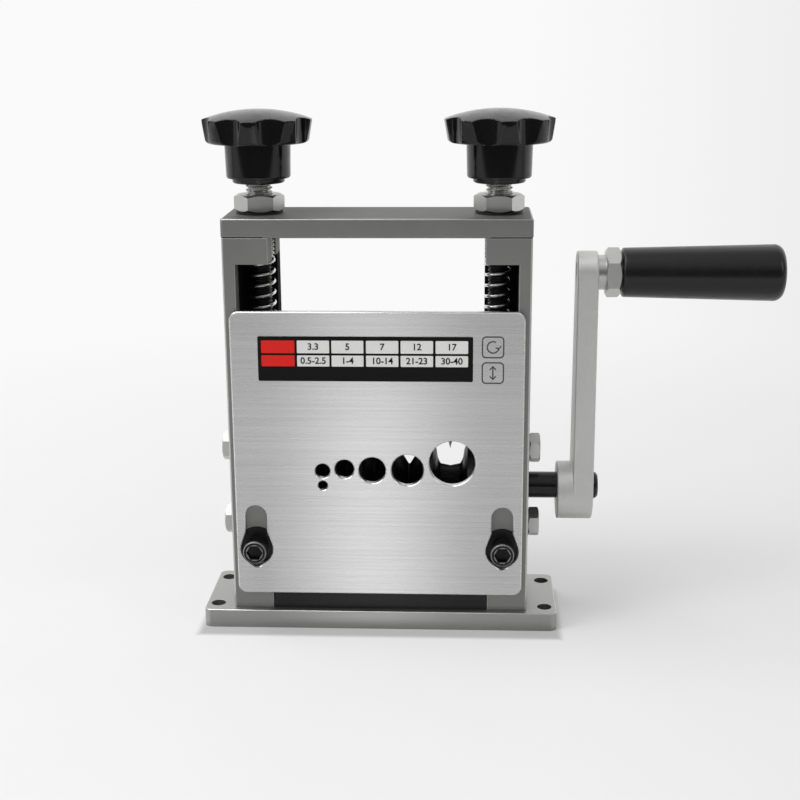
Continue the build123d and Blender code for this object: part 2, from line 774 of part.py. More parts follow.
for side, s in SIDES:
    route = spring_route(s * screw_x, spring_start[side])
    arcs = []
    for (p0, t0), (p1, t1) in zip(route, route[1:]):
        arcs += biarc(p0, t0, p1, t1)
    foot = Vector(route[0][0].X, route[0][0].Y, spring_bottom)
    head = Vector(route[-1][0].X, route[-1][0].Y, spring_top)
    with BuildPart() as spring:
        with BuildLine() as wire:
            Line(foot, route[0][0])
            for arc in arcs:
                ThreePointArc(*arc)
            Line(route[-1][0], head)
        with BuildSketch(Plane(origin=foot, z_dir=(0, 0, 1))):
            Circle(spring_wire_r)
        sweep(path=wire.line)
    spring.part.label = f"{side}_spring"
    export_step(spring.part, f"parts/{side}_spring.step")

    length = sum(edge.length for edge in wire.line.edges())
    points = [wire.line @ (n / samples) for n in range(samples + 1)]
    apart = round(2.5 * spring_r * samples / length)
    far_pairs = [(points[i], points[j]) for i in range(samples) for j in range(i + apart, samples + 1)]
    least_gap = min((a - b).length for a, b in far_pairs) - 2 * spring_wire_r
    least_radius = min(arc_radius(*arc) for arc in arcs)
    print(f"{side} spring: least gap {least_gap:.2f}, least radius {least_radius:.2f}")
    print(f"  volume {spring.part.volume:.1f}, by length {length * math.pi * spring_wire_r**2:.1f}")

# ---------------------------------------------------------------- guide plate
# A plate on the front of the side frames, with a hole for each wire size and two keyhole slots. The
# screws' sleeves stand in the slots; the plate drops until their heads hold it by the narrow parts.
plate_edge_chamfer = 0.35

with BuildSketch() as keyhole:
    with Locations((0, key_wide_z)):
        Circle(key_wide_r)
    with Locations((0, key_bottom + key_foot_r)):
        Circle(key_foot_r)
    with Locations((0, key_neck_z)):
        Circle(key_narrow_r)
    make_hull()
    with Locations((0, (key_neck_z + key_top - key_narrow_r) / 2)):
        Rectangle(2 * key_narrow_r, key_top - key_narrow_r - key_neck_z)
    with Locations((0, key_top - key_narrow_r)):
        Circle(key_narrow_r)

with BuildPart() as guide_plate:
    with BuildSketch(Plane.XZ.offset(-plate_back_y)):
        with Locations((0, (plate_bottom + plate_top) / 2)):
            RectangleRounded(2 * plate_half_x, plate_top - plate_bottom, plate_corner_r)
        for x, z, hole_d in wire_holes:
            with Locations((x, z)):
                Circle(hole_d / 2, mode=Mode.SUBTRACT)
        with Locations((-plate_screw_x, 0), (plate_screw_x, 0)):
            add(keyhole.sketch, mode=Mode.SUBTRACT)
    extrude(amount=plate_back_y - plate_front_y)
    chamfer(guide_plate.faces().sort_by(Axis.Y)[0].edges(), plate_edge_chamfer)
guide_plate.part.label = "guide_plate"
export_step(guide_plate.part, "parts/guide_plate.step")

# The dark label plate with the table of wire sizes.
with BuildPart() as size_label:
    with BuildSketch(Plane.XZ.offset(-plate_front_y)):
        with Locations((sum(label_x) / 2, sum(label_z) / 2)):
            RectangleRounded(label_x[1] - label_x[0], label_z[1] - label_z[0], label_corner_r)
    extrude(amount=label_thick)
size_label.part.label = "size_label"
export_step(size_label.part, "parts/size_label.step")

# Cap screws, sleeves and dark washers that carry the plate.
sleeve_r = 3.7
washer_thick = 1.0
washer_back_y = spot_face_depth - frame_half_y
plate_head_r = 4.4
plate_head_height = 5.0
plate_socket = 5.4
plate_screw_back_y = -10.0
plate_stem = plate_screw_back_y - sleeve_front_y
plate_cap_screw = socket_screw(plate_head_r, plate_head_height, m5_r, plate_stem, plate_socket)
plate_screw_places = [(s * plate_screw_x, plate_screw_z) for s in (-1, 1)]

with BuildPart() as plate_screws:
    with Locations([facing((0, -1, 0), x, sleeve_front_y, z) for x, z in plate_screw_places]):
        add(plate_cap_screw)
plate_screws.part.label = "plate_screws"
export_step(plate_screws.part, "parts/plate_screws.step")

with BuildPart() as plate_washers:
    with BuildSketch(Plane.XZ.offset(-washer_back_y)):
        with Locations(plate_screw_places):
            Circle(washer_r)
            Circle(m5_r + seat_gap, mode=Mode.SUBTRACT)
    extrude(amount=washer_thick)
plate_washers.part.label = "plate_washers"
export_step(plate_washers.part, "parts/plate_washers.step")

with BuildPart() as plate_sleeves:
    with BuildSketch(Plane.XZ.offset(washer_thick - washer_back_y)):
        with Locations(plate_screw_places):
            Circle(sleeve_r)
            Circle(m5_r + seat_gap, mode=Mode.SUBTRACT)
    extrude(amount=washer_back_y - washer_thick - sleeve_front_y)
plate_sleeves.part.label = "plate_sleeves"
export_step(plate_sleeves.part, "parts/plate_sleeves.step")

# ---------------------------------------------------------------- crank
# A flat arm that widens to its boss. The shaft runs through the upper part of the boss, and a set
# screw comes up from below.
set_screw_x = (boss_inner_x + crank_inner_x) / 2
set_screw_r = 2.5
set_socket = 2.5
arm_round = 0.8

with BuildPart() as crank_arm:
    with BuildSketch(Plane.YZ.offset(crank_inner_x)):
        with Locations((0, boss_z)):
            Circle(boss_r)
        with Locations((0, handle_z)):
            Circle(crank_tip_r)
        make_hull()
    extrude(amount=crank_outer_x - crank_inner_x)
    fillet(crank_arm.edges().filter_by(Axis.X, reverse=True), arm_round)
    with BuildSketch(Plane.YZ.offset(boss_inner_x)):
        with Locations((0, boss_z)):
            Circle(boss_r)
    extrude(amount=crank_inner_x - boss_inner_x + arm_round)
    fillet(crank_arm.edges().group_by(Axis.X)[0], edge_break)
    with Locations(facing((1, 0, 0), crank_outer_x, 0, roller_axis_z)):
        Hole(shaft_r + press_gap)
    with Locations(facing((1, 0, 0), crank_outer_x, 0, handle_z)):
        Hole(pin_r + press_gap)
    with Locations(facing((0, 0, -1), set_screw_x, 0, boss_z - boss_r)):
        Hole(set_screw_r + press_gap, depth=roller_axis_z - boss_z + boss_r)
crank_arm.part.label = "crank_arm"
export_step(crank_arm.part, "parts/crank_arm.step")

set_screw_bottom = boss_z - boss_r + 1.2
with BuildPart() as crank_set_screw:
    with Locations((set_screw_x, 0, set_screw_bottom)):
        Cylinder(
            set_screw_r,
            roller_axis_z - shaft_r - set_screw_bottom - press_gap,
            align=(Align.CENTER, Align.CENTER, Align.MIN),
        )
    with BuildSketch(Plane(origin=(set_screw_x, 0, set_screw_bottom))):
        RegularPolygon(set_socket / 2, 6, major_radius=False)
    extrude(amount=set_socket, mode=Mode.SUBTRACT)
crank_set_screw.part.label = "crank_set_screw"
export_step(crank_set_screw.part, "parts/crank_set_screw.step")

# ---------------------------------------------------------------- handle
# The pin is screwed into the arm and locked by the nut; the grip turns on it, held by the pin's head.
pin_inner_x = crank_inner_x + 0.4
pin_head_r = 6.5
pin_head_x = 141.5
pin_head_thick = 4.0
pin_socket = 5.0
grip_bore_gap = 0.05
grip_start_round = 1.0
grip_end_round = 3.5

with BuildPart() as handle_pin:
    with BuildSketch(Plane.YZ.offset(pin_inner_x)):
        with Locations((0, handle_z)):
            Circle(pin_r)
    extrude(amount=pin_head_x - pin_inner_x)
    with BuildSketch(Plane.YZ.offset(pin_head_x)):
        with Locations((0, handle_z)):
            Circle(pin_head_r)
    extrude(amount=pin_head_thick)
    chamfer(handle_pin.edges().group_by(Axis.X)[-1], edge_break)
    with BuildSketch(Plane.YZ.offset(pin_head_x + pin_head_thick)):
        with Locations((0, handle_z)):
            RegularPolygon(pin_socket / 2, 6, major_radius=False)
    extrude(amount=-pin_socket / 2, mode=Mode.SUBTRACT)
handle_pin.part.label = "handle_pin"
export_step(handle_pin.part, "parts/handle_pin.step")

handle_collar = rod(collar_r, crank_outer_x, collar_outer_x, handle_z, pin_r + press_gap)
handle_collar.part.label = "handle_collar"
export_step(handle_collar.part, "parts/handle_collar.step")

handle_nut_blank = hexagon(nut_flats, handle_nut_outer_x - collar_outer_x, pin_r + press_gap)
with BuildPart() as handle_nut:
    with Locations(facing((1, 0, 0), collar_outer_x, 0, handle_z)):
        add(handle_nut_blank)
handle_nut.part.label = "handle_nut"
export_step(handle_nut.part, "parts/handle_nut.step")

with BuildPart() as handle_grip:
    with BuildSketch(Plane.XZ):
        with BuildLine():
            Line((grip_inner_x, handle_z), (grip_inner_x, handle_z + grip_small_r - grip_start_round))
            RadiusArc(
                (grip_inner_x, handle_z + grip_small_r - grip_start_round),
                (grip_inner_x + grip_start_round, handle_z + grip_small_r),
                grip_start_round,
            )
            Line(
                (grip_inner_x + grip_start_round, handle_z + grip_small_r),
                (grip_outer_x - grip_end_round, handle_z + grip_large_r),
            )
            RadiusArc(
                (grip_outer_x - grip_end_round, handle_z + grip_large_r),
                (grip_outer_x, handle_z + grip_large_r - grip_end_round),
                grip_end_round,
            )
            Line((grip_outer_x, handle_z + grip_large_r - grip_end_round), (grip_outer_x, handle_z))
            Line((grip_outer_x, handle_z), (grip_inner_x, handle_z))
        make_face()
    revolve(axis=Axis((0, 0, handle_z), (1, 0, 0)))
    with Locations(facing((1, 0, 0), grip_outer_x, 0, handle_z)):
        CounterBoreHole(pin_r + grip_bore_gap, pin_head_r + 0.3, grip_outer_x - pin_head_x + 0.3)
handle_grip.part.label = "handle_grip"
export_step(handle_grip.part, "parts/handle_grip.step")
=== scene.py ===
import math
import bmesh
import bpy
from mathutils import Matrix, Vector


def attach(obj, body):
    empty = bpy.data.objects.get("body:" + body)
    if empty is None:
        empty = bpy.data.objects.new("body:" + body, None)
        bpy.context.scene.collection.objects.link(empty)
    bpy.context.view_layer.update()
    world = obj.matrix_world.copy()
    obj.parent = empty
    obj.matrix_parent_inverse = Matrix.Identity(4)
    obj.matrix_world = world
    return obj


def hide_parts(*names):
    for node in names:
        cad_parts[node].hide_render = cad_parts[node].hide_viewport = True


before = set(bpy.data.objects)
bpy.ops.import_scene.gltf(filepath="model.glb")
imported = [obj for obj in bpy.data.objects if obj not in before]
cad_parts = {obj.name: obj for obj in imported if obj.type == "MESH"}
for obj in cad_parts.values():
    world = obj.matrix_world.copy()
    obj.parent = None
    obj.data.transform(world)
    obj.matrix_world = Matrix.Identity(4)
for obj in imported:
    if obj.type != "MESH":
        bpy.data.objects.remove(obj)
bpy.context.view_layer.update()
scene = bpy.context.scene
mm = 0.001
sides = {"left": -1, "right": 1}

# ---------------------------------------------------------------- base plate
# A flat steel bar, ground to a satin face, with its edges eased and four holes for the bench screws.
# Countersunk screws come up through it into what stands on it.


class Signal:
    """An output socket of a node tree. Arithmetic on it adds Math nodes."""

    def __init__(self, tree, socket):
        self.tree = tree
        self.socket = socket

    def node(self, kind, settings, inputs, output=0):
        """Add a node: its settings first, then the values or links of its sockets."""
        made = self.tree.nodes.new(kind)
        for name, value in settings.items():
            if name == "stops":
                ramp = made.color_ramp.elements
                while len(ramp) < len(value):
                    ramp.new(0.5)
                for stop, (place, level) in zip(ramp, value):
                    stop.position = place
                    stop.color = (level, level, level, 1)
            else:
                setattr(made, name, value)
        for key, value in inputs.items():
            if isinstance(value, Signal):
                self.tree.links.new(value.socket, made.inputs[key])
            else:
                made.inputs[key].default_value = value
        return Signal(self.tree, made.outputs[output])

    def maths(self, operation, *values):
        """One Math node on these values."""
        return self.node("ShaderNodeMath", {"operation": operation}, dict(enumerate(values)))

    def __add__(self, other):
        return self.maths("ADD", self, other)

    def __radd__(self, other):
        return self.maths("ADD", other, self)

    def __sub__(self, other):
        return self.maths("SUBTRACT", self, other)

    def __rsub__(self, other):
        return self.maths("SUBTRACT", other, self)

    def __mul__(self, other):
        return self.maths("MULTIPLY", self, other)

    def __rmul__(self, other):
        return self.maths("MULTIPLY", other, self)

    def __truediv__(self, other):
        return self.maths("DIVIDE", self, other)

    def tint(self, low, high):
        """The colour between two colours, or two colour signals, that this mask picks."""
        ends = [end if isinstance(end, Signal) else (*end, 1) for end in (low, high)]
        return self.node("ShaderNodeMix", {"data_type": "RGBA"}, {0: self, 6: ends[0], 7: ends[1]}, 2)

    def axes(self):
        """The three parts of this vector."""
        split = self.node("ShaderNodeSeparateXYZ", {}, {"Vector": self})
        return [Signal(self.tree, split.socket.node.outputs[key]) for key in "XYZ"]

    def length(self):
        """The length of this vector."""
        return self.node("ShaderNodeVectorMath", {"operation": "LENGTH"}, {0: self}, 1)

    def noise(self, scale, detail=2.0, roughness=0.5):
        """Noise on this vector, from 0 to 1."""
        inputs = {"Vector": self, "Scale": scale, "Detail": detail, "Roughness": roughness}
        return self.node("ShaderNodeTexNoise", {}, inputs)

    def steps(self, *stops):
        """This value through a ramp of greys."""
        return self.node("ShaderNodeValToRGB", {"stops": stops}, {"Fac": self})

    def stretched(self, scale):
        """This vector stretched, so that a pattern on it runs along the axis of the least scale."""
        return self.node("ShaderNodeMapping", {}, {"Vector": self, "Scale": scale})


def new_finish(name, **values):
    """A new material with its constant values, its coordinates in millimetres, and a way to link it."""
    material = bpy.data.materials.new(name)
    material.use_nodes = True
    tree = material.node_tree
    shader = tree.nodes["Principled BSDF"]
    for socket, value in values.items():
        shader.inputs[socket.replace("_", " ")].default_value = value
    place = Signal(tree, tree.nodes.new("ShaderNodeTexCoord").outputs["Object"])
    place = place.stretched((1000, 1000, 1000))

    def link(**signals):
        for socket, signal in signals.items():
            tree.links.new(signal.socket, shader.inputs[socket.replace("_", " ")])
        return material

    return place, link


def relief(height, depth):
    """The normal of a surface with this height, in millimetres."""
    return height.node("ShaderNodeBump", {}, {"Height": height, "Distance": depth * mm, "Strength": 1.0})


def worked_metal(name, dark, light, lay, rough, marks=0.02, metallic=1.0):
    """A metal face with fine tool marks along its lay, soft clouds of tone and a few rubbed spots."""
    place, link = new_finish(name, Metallic=metallic)
    grain = place.stretched(lay).noise(1.0, 4.0, 0.65)
    cloud = place.noise(0.035, 3.0)
    rubbed = place.noise(0.4, 4.0).steps((0.52, 0.0), (0.72, 1.0))
    tone = grain * 0.45 + cloud * 0.45 + rubbed * 0.1
    return link(
        Base_Color=tone.tint(dark, light),
        Roughness=rough[0] + (grain * 0.5 + cloud * 0.5) * (rough[1] - rough[0]),
        Normal=relief(grain, marks),
    )


def dress(material, *names):
    """Give CAD nodes a better material."""
    for name in names:
        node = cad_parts[name]
        if not node.material_slots:
            node.data.materials.append(material)
        for place in node.material_slots:
            place.material = material


def placed(name, data):
    """A new object in the scene."""
    piece = bpy.data.objects.new(name, data)
    scene.collection.objects.link(piece)
    return piece


def settled(piece):
    """The plain mesh of a piece, with its modifiers worked in."""
    bpy.context.view_layer.update()
    return bpy.data.meshes.new_from_object(piece.evaluated_get(bpy.context.evaluated_depsgraph_get()))


def belongs(piece, body, slot, *nodes):
    """Say which body a piece rides on and which nodes it stands for. The slot is not used."""
    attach(piece, body)
    if nodes:
        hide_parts(*nodes)
    return piece


def finished(piece, material, body, slot, *nodes, sharp=40):
    """Shade a piece and give it its material, body and nodes."""
    piece.data.materials.clear()
    piece.data.materials.append(material)
    piece.data.shade_smooth()
    piece.data.set_sharp_from_angle(angle=math.radians(sharp))
    return belongs(piece, body, slot, *nodes)


merge_gap = 0.002 * mm
lip_y = -8.8 * mm
outer_wall_x = 54.5 * mm
strip_area = 90 * mm * mm


def eased(node, name, material, rubbed, body, slot, width, upright=False, sheet=False, under=None):
    """A copy of a node's solid, merged to whole faces, with its edges eased by a bevel. The eased edges
    take the second, lighter metal as a painted highlight, with the sloping strips along them where the
    piece isn't a sheet. What faces down, and the inside of an upright channel, get no painted highlight:
    they stay as the piece is, or take the under metal as a painted shadow."""
    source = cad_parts[node].data
    piece = placed(name, bpy.data.meshes.new(name))
    points = [vertex.co for vertex in source.vertices]
    piece.data.from_pydata(points, [], [list(face.vertices) for face in source.polygons])
    shape = bmesh.new()
    shape.from_mesh(piece.data)
    bmesh.ops.remove_doubles(shape, verts=shape.verts, dist=merge_gap)
    flat = math.radians(0.5)
    bmesh.ops.dissolve_limit(shape, angle_limit=flat, verts=shape.verts, edges=shape.edges)
    shape.to_mesh(piece.data)
    shape.free()
    bevel = piece.modifiers.new("eased edges", "BEVEL")
    bevel.width = width * mm
    bevel.segments = 2
    bevel.limit_method = "ANGLE"
    bevel.angle_limit = math.radians(35)
    bevel.harden_normals = True
    bevel.material = 1
    piece.data.materials.append(material)
    piece.data.materials.append(rubbed)
    if under:
        piece.data.materials.append(under)
    piece.data.shade_smooth()
    piece.data = settled(piece)
    piece.modifiers.clear()
    # Painted light: edges facing up or sideways get the lighter highlight metal; faces turned down, where
    # shade falls, stay plain or take the under metal as a painted shadow.
    for face in piece.data.polygons:
        x, y, z = (abs(part) for part in face.normal)
        sloping = 0.1 < z < 0.985 or (upright and z < 0.1 and min(x, y) > 0.3)
        hidden = upright and face.center.y > lip_y and abs(face.center.x) < outer_wall_x
        if hidden or (face.normal.z < -0.1 and not sheet):
            face.material_index = 2 if under else 0
        elif sloping and not sheet and face.area < strip_area:
            face.material_index = 1
    return belongs(piece, body, slot, node)


satin_steel = worked_metal(
    "satin_steel", (0.37, 0.37, 0.365), (0.5, 0.5, 0.49), lay=(0.05, 1.6, 1.6), rough=(0.34, 0.5)
)
black_oxide = worked_metal(
    "black_oxide", (0.012, 0.012, 0.012), (0.03, 0.03, 0.03), (0.8, 0.8, 0.8), (0.35, 0.5), 0.01, 0.6
)
# The eased edges' metal, lighter than the face: a painted highlight along the edges.
rubbed_edge = worked_metal(
    "rubbed_edge", (0.5, 0.5, 0.49), (0.7, 0.7, 0.69), (0.4, 0.4, 0.4), (0.28, 0.42), marks=0.01
)
# The base's eased edges get the painted highlight, and its faces turned down take black oxide as a painted
# contact shadow along its lower edge.
eased("base_plate", "base_bar", satin_steel, rubbed_edge, "frame", "base_metal", 0.35, under=black_oxide)
dress(black_oxide, "base_screws")

# ---------------------------------------------------------------- tie bar
# A bar of drawn steel, blackened, that joins the two side frames at their feet, behind the lower edge
# of the guide plate. Its black stands where shade falls on the base between the frames: painted shade.
dress(black_oxide, "lower_tie_bar")

# ---------------------------------------------------------------- side frames
# Two channels milled from the solid, then blasted and dipped grey, with a lighter painted highlight on
# their eased edges. The inner faces of the channels are black: painted shade.
frame_grey = ((0.24, 0.24, 0.237), (0.32, 0.32, 0.316))
channel_wall_x = 51.3
channel_front, channel_back = -9.4, 16.6
channel_foot, channel_roof = 16.4, 139.05
joint_x, joint_z, joint_half = 40.6, 148.8, 0.22


def milled_frame(name):
    """Grey metal, with the inside of the channel painted black as shade, and the joint under the crossbar's
    ends left black.
    """
    place, link = new_finish(name, Specular_IOR_Level=0.15, Specular_Tint=(0.4, 0.4, 0.4, 1))
    along_x, along_y, along_z = place.axes()
    # Painted shade: inside the channel the colour turns black, matt and unmetallic; the joint line is a
    # dark joint.
    across = along_x.maths("ABSOLUTE", along_x)
    inside = across.maths("LESS_THAN", across, channel_wall_x)
    inside = inside * along_y.maths("LESS_THAN", along_y, channel_back)
    inside = inside * along_y.maths("GREATER_THAN", along_y, channel_front)
    inside = inside * along_z.maths("GREATER_THAN", along_z, channel_foot)
    inside = inside * along_z.maths("LESS_THAN", along_z, channel_roof)
    joint = along_z.maths("COMPARE", along_z, joint_z, joint_half)
    joint = across.maths("GREATER_THAN", across, joint_x) * joint
    inside = inside.maths("MAXIMUM", inside, joint)
    grain = place.stretched((0.5, 0.5, 0.12)).noise(3.0, 4.0, 0.6)
    cloud = place.noise(0.05, 3.0)
    grey = (grain * 0.4 + cloud * 0.6).tint(*frame_grey)
    return link(
        Base_Color=inside.tint(grey, (0.01, 0.01, 0.01)),
        Metallic=0.85 - inside * 0.85,
        Roughness=0.4 + grain * 0.16 + inside * 0.4,
        Normal=relief(grain, 0.015),
    )


blasted_frame = milled_frame("blasted_frame")
for side in sides:
    node, name = f"{side}_side_frame", f"{side}_channel"
    eased(node, name, blasted_frame, rubbed_edge, "frame", "frame_metal", 0.35, upright=True)
dress(black_oxide, "crossbar_screws", "crossbar_dowels")

# ---------------------------------------------------------------- lower bearings
# A blackened steel block in each channel with a flanged bronze bush pressed in, held from outside by
# zinc-plated hexagon bolts on plain washers.
bronze = worked_metal("bronze", (0.36, 0.22, 0.09), (0.52, 0.34, 0.15), (2.0, 2.0, 2.0), (0.28, 0.42))
bright_zinc = worked_metal(
    "bright_zinc", (0.5, 0.5, 0.49), (0.66, 0.66, 0.64), (0.3, 0.3, 1.2), (0.28, 0.42), marks=0.012
)
for side in sides:
    dress(black_oxide, f"{side}_lower_bearing_block")
    dress(bronze, f"{side}_lower_bush", f"{side}_upper_bush")
    dress(bright_zinc, f"{side}_side_bolts", f"{side}_side_washers")

# ---------------------------------------------------------------- feed roller
# A roller of blackened steel with a groove for each wire size. Its grooves are cut across with fine
# teeth that pull the wire in. A pin fixes it to the crank's shaft.


def turned_tree(name, sizes, outline):
    """A Geometry Nodes tree that turns the object's own line of points round an axis. The outline takes
    the angle, the line's radius and height, and the tree's inputs. It gives the radius and the height."""
    tree = bpy.data.node_groups.new(name, "GeometryNodeTree")
    kinds = {"Line": "NodeSocketGeometry", "Columns": "NodeSocketInt", "Place": "NodeSocketVector"}
    kinds |= {"Turn": "NodeSocketVector", "Finish": "NodeSocketMaterial"}
    kinds |= {size: "NodeSocketFloat" for size in sizes}
    for label, kind in kinds.items():
        tree.interface.new_socket(label, in_out="INPUT", socket_type=kind)
    tree.interface.new_socket("Piece", in_out="OUTPUT", socket_type="NodeSocketGeometry")
    given = tree.nodes.new("NodeGroupInput")
    given = {label: Signal(tree, given.outputs[label]) for label in kinds}
    start = given["Line"]
    rows = start.node("GeometryNodeAttributeDomainSize", {"component": "MESH"}, {"Geometry": start})
    counts = {"Vertices X": given["Columns"], "Vertices Y": rows}
    sheet = start.node("GeometryNodeMeshGrid", {}, counts)
    index = start.node("GeometryNodeInputIndex", {}, {})
    column = ((index + 0.5) / rows).maths("FLOOR", (index + 0.5) / rows)
    row = index - column * rows
    spot = start.node("GeometryNodeInputPosition", {}, {})
    sampling = {"data_type": "FLOAT_VECTOR", "domain": "POINT"}
    sample = {"Geometry": start, "Value": spot, "Index": row}
    spot = start.node("GeometryNodeSampleIndex", sampling, sample)
    radius, _, height = spot.axes()
    angle = column * (2 * math.pi) / (given["Columns"] - 1)
    radius, height = outline(angle, radius, height, given)
    across = radius * angle.maths("COSINE", angle)
    back = radius * angle.maths("SINE", angle)
    spot = spot.node("ShaderNodeCombineXYZ", {}, {"X": across, "Y": back, "Z": height})
    shaped = spot.node("GeometryNodeSetPosition", {}, {"Geometry": sheet, "Position": spot})
    shaped = shaped.node("GeometryNodeMergeByDistance", {}, {"Geometry": shaped, "Distance": merge_gap})
    move = {"Geometry": shaped, "Translation": given["Place"], "Rotation": given["Turn"]}
    shaped = shaped.node("GeometryNodeTransform", {}, move)
    shaped = shaped.node("GeometryNodeRealizeInstances", {}, {"Geometry": shaped})
    shaped = shaped.node("GeometryNodeSetMaterial", {}, {"Geometry": shaped, "Material": given["Finish"]})
    tree.links.new(shaped.socket, tree.nodes.new("NodeGroupOutput").inputs["Piece"])
    return tree


def grown(name, tree, line, **inputs):
    """Run a tree on a line of (radius, height) points in millimetres, and keep the plain mesh."""
    piece = placed(name, bpy.data.meshes.new(name))
    points = [(radius * mm, 0, height * mm) for radius, height in line]
    piece.data.from_pydata(points, [(n, n + 1) for n in range(len(points) - 1)], [])
    growth = piece.modifiers.new("growth", "NODES")
    growth.node_group = tree
    for item in tree.interface.items_tree:
        if item.in_out == "INPUT" and item.name.replace(" ", "_") in inputs:
            growth[item.identifier] = inputs[item.name.replace(" ", "_")]
    mesh = settled(piece)
    piece.modifiers.clear()
    piece.data = mesh
    shape = bmesh.new()
    shape.from_mesh(mesh)
    bmesh.ops.recalc_face_normals(shape, faces=shape.faces)
    shape.to_mesh(mesh)
    shape.free()
    return piece


def toothed(angle, radius, height, given):
    """Teeth across the grooves, which fade out towards the lands."""
    wave = angle.maths("COSINE", angle * given["Teeth"]) * 0.5 + 0.5
    fade = (given["Land"] - radius) / (1.5 * mm)
    fade = fade.maths("MINIMUM", fade.maths("MAXIMUM", fade, 0.0), 1.0)
    return radius - wave * given["Depth"] * fade, height


roller_axis = 51.65
roller_r = 15.8
roller_half = 37.1
roller_edge = 0.6
shaft_r = 5.0
teeth = 72.0
tooth_depth = 0.35
# Each groove's middle, the radius of its floor, its half width at the top and at the floor, how much the
# floor dips in the middle, and how much its walls bend.
grooves = (
    (-20.6, 11.3, 2.7, 0.3, 0.1, 0.0),
    (-12.5, 11.3, 3.3, 0.3, 0.1, 0.0),
    (-2.2, 11.0, 4.4, 0.3, 0.1, 0.0),
    (10.7, 7.8, 5.4, 0.3, 0.1, 0.0),
    (26.4, 7.9, 6.5, 3.7, 0.8, 0.35),
)
wall_steps = 8
roller_line = [(shaft_r, -roller_half), (roller_r - roller_edge, -roller_half)]
roller_line += [(roller_r, roller_edge - roller_half)]
for x, floor_r, top_half, floor_half, dip, bend in grooves:
    slope = []
    for n in range(wall_steps + 1):
        drop = n / wall_steps
        inward = drop + bend * math.sin(drop * 2 * math.pi) / math.pi
        slope.append((top_half + (floor_half - top_half) * inward, roller_r + (floor_r - roller_r) * drop))
    roller_line += [(r, x - half) for half, r in slope]
    roller_line += [(floor_r - dip, x)]
    roller_line += [(r, x + half) for half, r in reversed(slope)]
roller_line += [(roller_r, roller_half - roller_edge), (roller_r - roller_edge, roller_half)]
roller_line += [(shaft_r, roller_half), (shaft_r, -roller_half)]
roller_steel = worked_metal(
    "roller_steel", (0.035, 0.035, 0.036), (0.085, 0.085, 0.086), (0.15, 1.2, 1.2), (0.3, 0.45), marks=0.01
)
toothed_tree = turned_tree("toothed_roller", ("Teeth", "Depth", "Land"), toothed)
roller = grown(
    "toothed_roller",
    toothed_tree,
    roller_line,
    Columns=289,
    Teeth=teeth,
    Depth=tooth_depth * mm,
    Land=roller_r * mm,
    Place=(0, 0, roller_axis * mm),
    Turn=(0, math.pi / 2, 0),
    Finish=roller_steel,
)
finished(roller, roller_steel, "crank", "roller_steel", "feed_roller", sharp=30)
dark_shaft = worked_metal(
    "dark_shaft", (0.02, 0.02, 0.02), (0.05, 0.05, 0.05), (0.2, 1.5, 1.5), (0.14, 0.22), 0.004, 0.9
)
dress(dark_shaft, "drive_shaft", "blade_shaft")
dress(black_oxide, "roller_pin")

# ---------------------------------------------------------------- slider blocks
# Blackened steel blocks that slide up and down in the channels. They carry the bushes of the blade
# shaft and hang on the adjusting screws.
for side in sides:
    dress(black_oxide, f"{side}_slider_block")

# ---------------------------------------------------------------- blade set
# Five round blades of hardened steel with ground bevels, kept apart on their shaft by blackened spacer
# tubes and closed in by a collar at each end.
blade_steel = worked_metal(
    "blade_steel", (0.12, 0.12, 0.122), (0.2, 0.2, 0.203), (1.5, 1.5, 1.5), (0.24, 0.38), marks=0.008
)
dress(blade_steel, *[f"round_blade_{number}" for number in range(1, 6)])
dress(black_oxide, "blade_spacers", "blade_end_collars")

# ---------------------------------------------------------------- crossbar
# The bar across the top, of the same grey metal as the side frames. Dowels place it on them and screws
# hold it down.
# Its eased edges take a lighter grey: a painted highlight along them.
frame_edge = worked_metal(
    "frame_edge", (0.3, 0.3, 0.296), (0.42, 0.42, 0.414), (0.4, 0.4, 0.4), (0.3, 0.45), marks=0.01
)
eased("top_crossbar", "crossbar", blasted_frame, frame_edge, "frame", "frame_metal", 0.4)

# ---------------------------------------------------------------- adjusting screws
# A coarse thread runs in the crossbar. The thinner part below it, threaded too, is black and runs
# through the spring; its end turns in the slider block, held by a clip.
screw_x = 43.8
spigot_foot, shank_foot, main_foot, screw_top = 96.6, 105.1, 139.1, 183.0
# The end that turns in the slider block, with the groove for its clip.
spigot_line = [(0, spigot_foot), (2.55, spigot_foot), (2.95, 97.0), (2.95, 99.75), (2.2, 99.75)]
spigot_line += [(2.2, 100.85), (2.95, 100.85), (2.95, 105.2), (0, 105.2)]


def threaded(angle, radius, height, given):
    """A thread: each row climbs by one pitch a turn and is cut level at both ends."""
    climbed = height + angle * given["Pitch"] / (2 * math.pi)
    level = climbed.maths("MINIMUM", climbed.maths("MAXIMUM", climbed, given["Bottom"]), given["Top"])
    cut = level.maths("COMPARE", level, climbed, 0.001 * mm)
    root = radius.maths("MINIMUM", radius, given["Root"])
    return root + (radius - root) * cut, level


def thread_line(crest, root, pitch, bottom, top):
    """The line for a thread: root, flank, crest and flank in each pitch, closed at both ends."""
    turns = math.ceil((top - bottom) / pitch) + 2
    line = [(0, bottom - 2 * pitch), (root, bottom - 2 * pitch)]
    for turn in range(turns):
        foot = bottom - 1.5 * pitch + turn * pitch
        line += [(root, foot), (root, foot + 0.12 * pitch)]
        line += [(crest, foot + 0.5 * pitch), (crest, foot + 0.62 * pitch)]
    return line + [(root, top + pitch), (0, top + pitch)]


thread_tree = turned_tree("cut_thread", ("Pitch", "Bottom", "Top", "Root"), threaded)


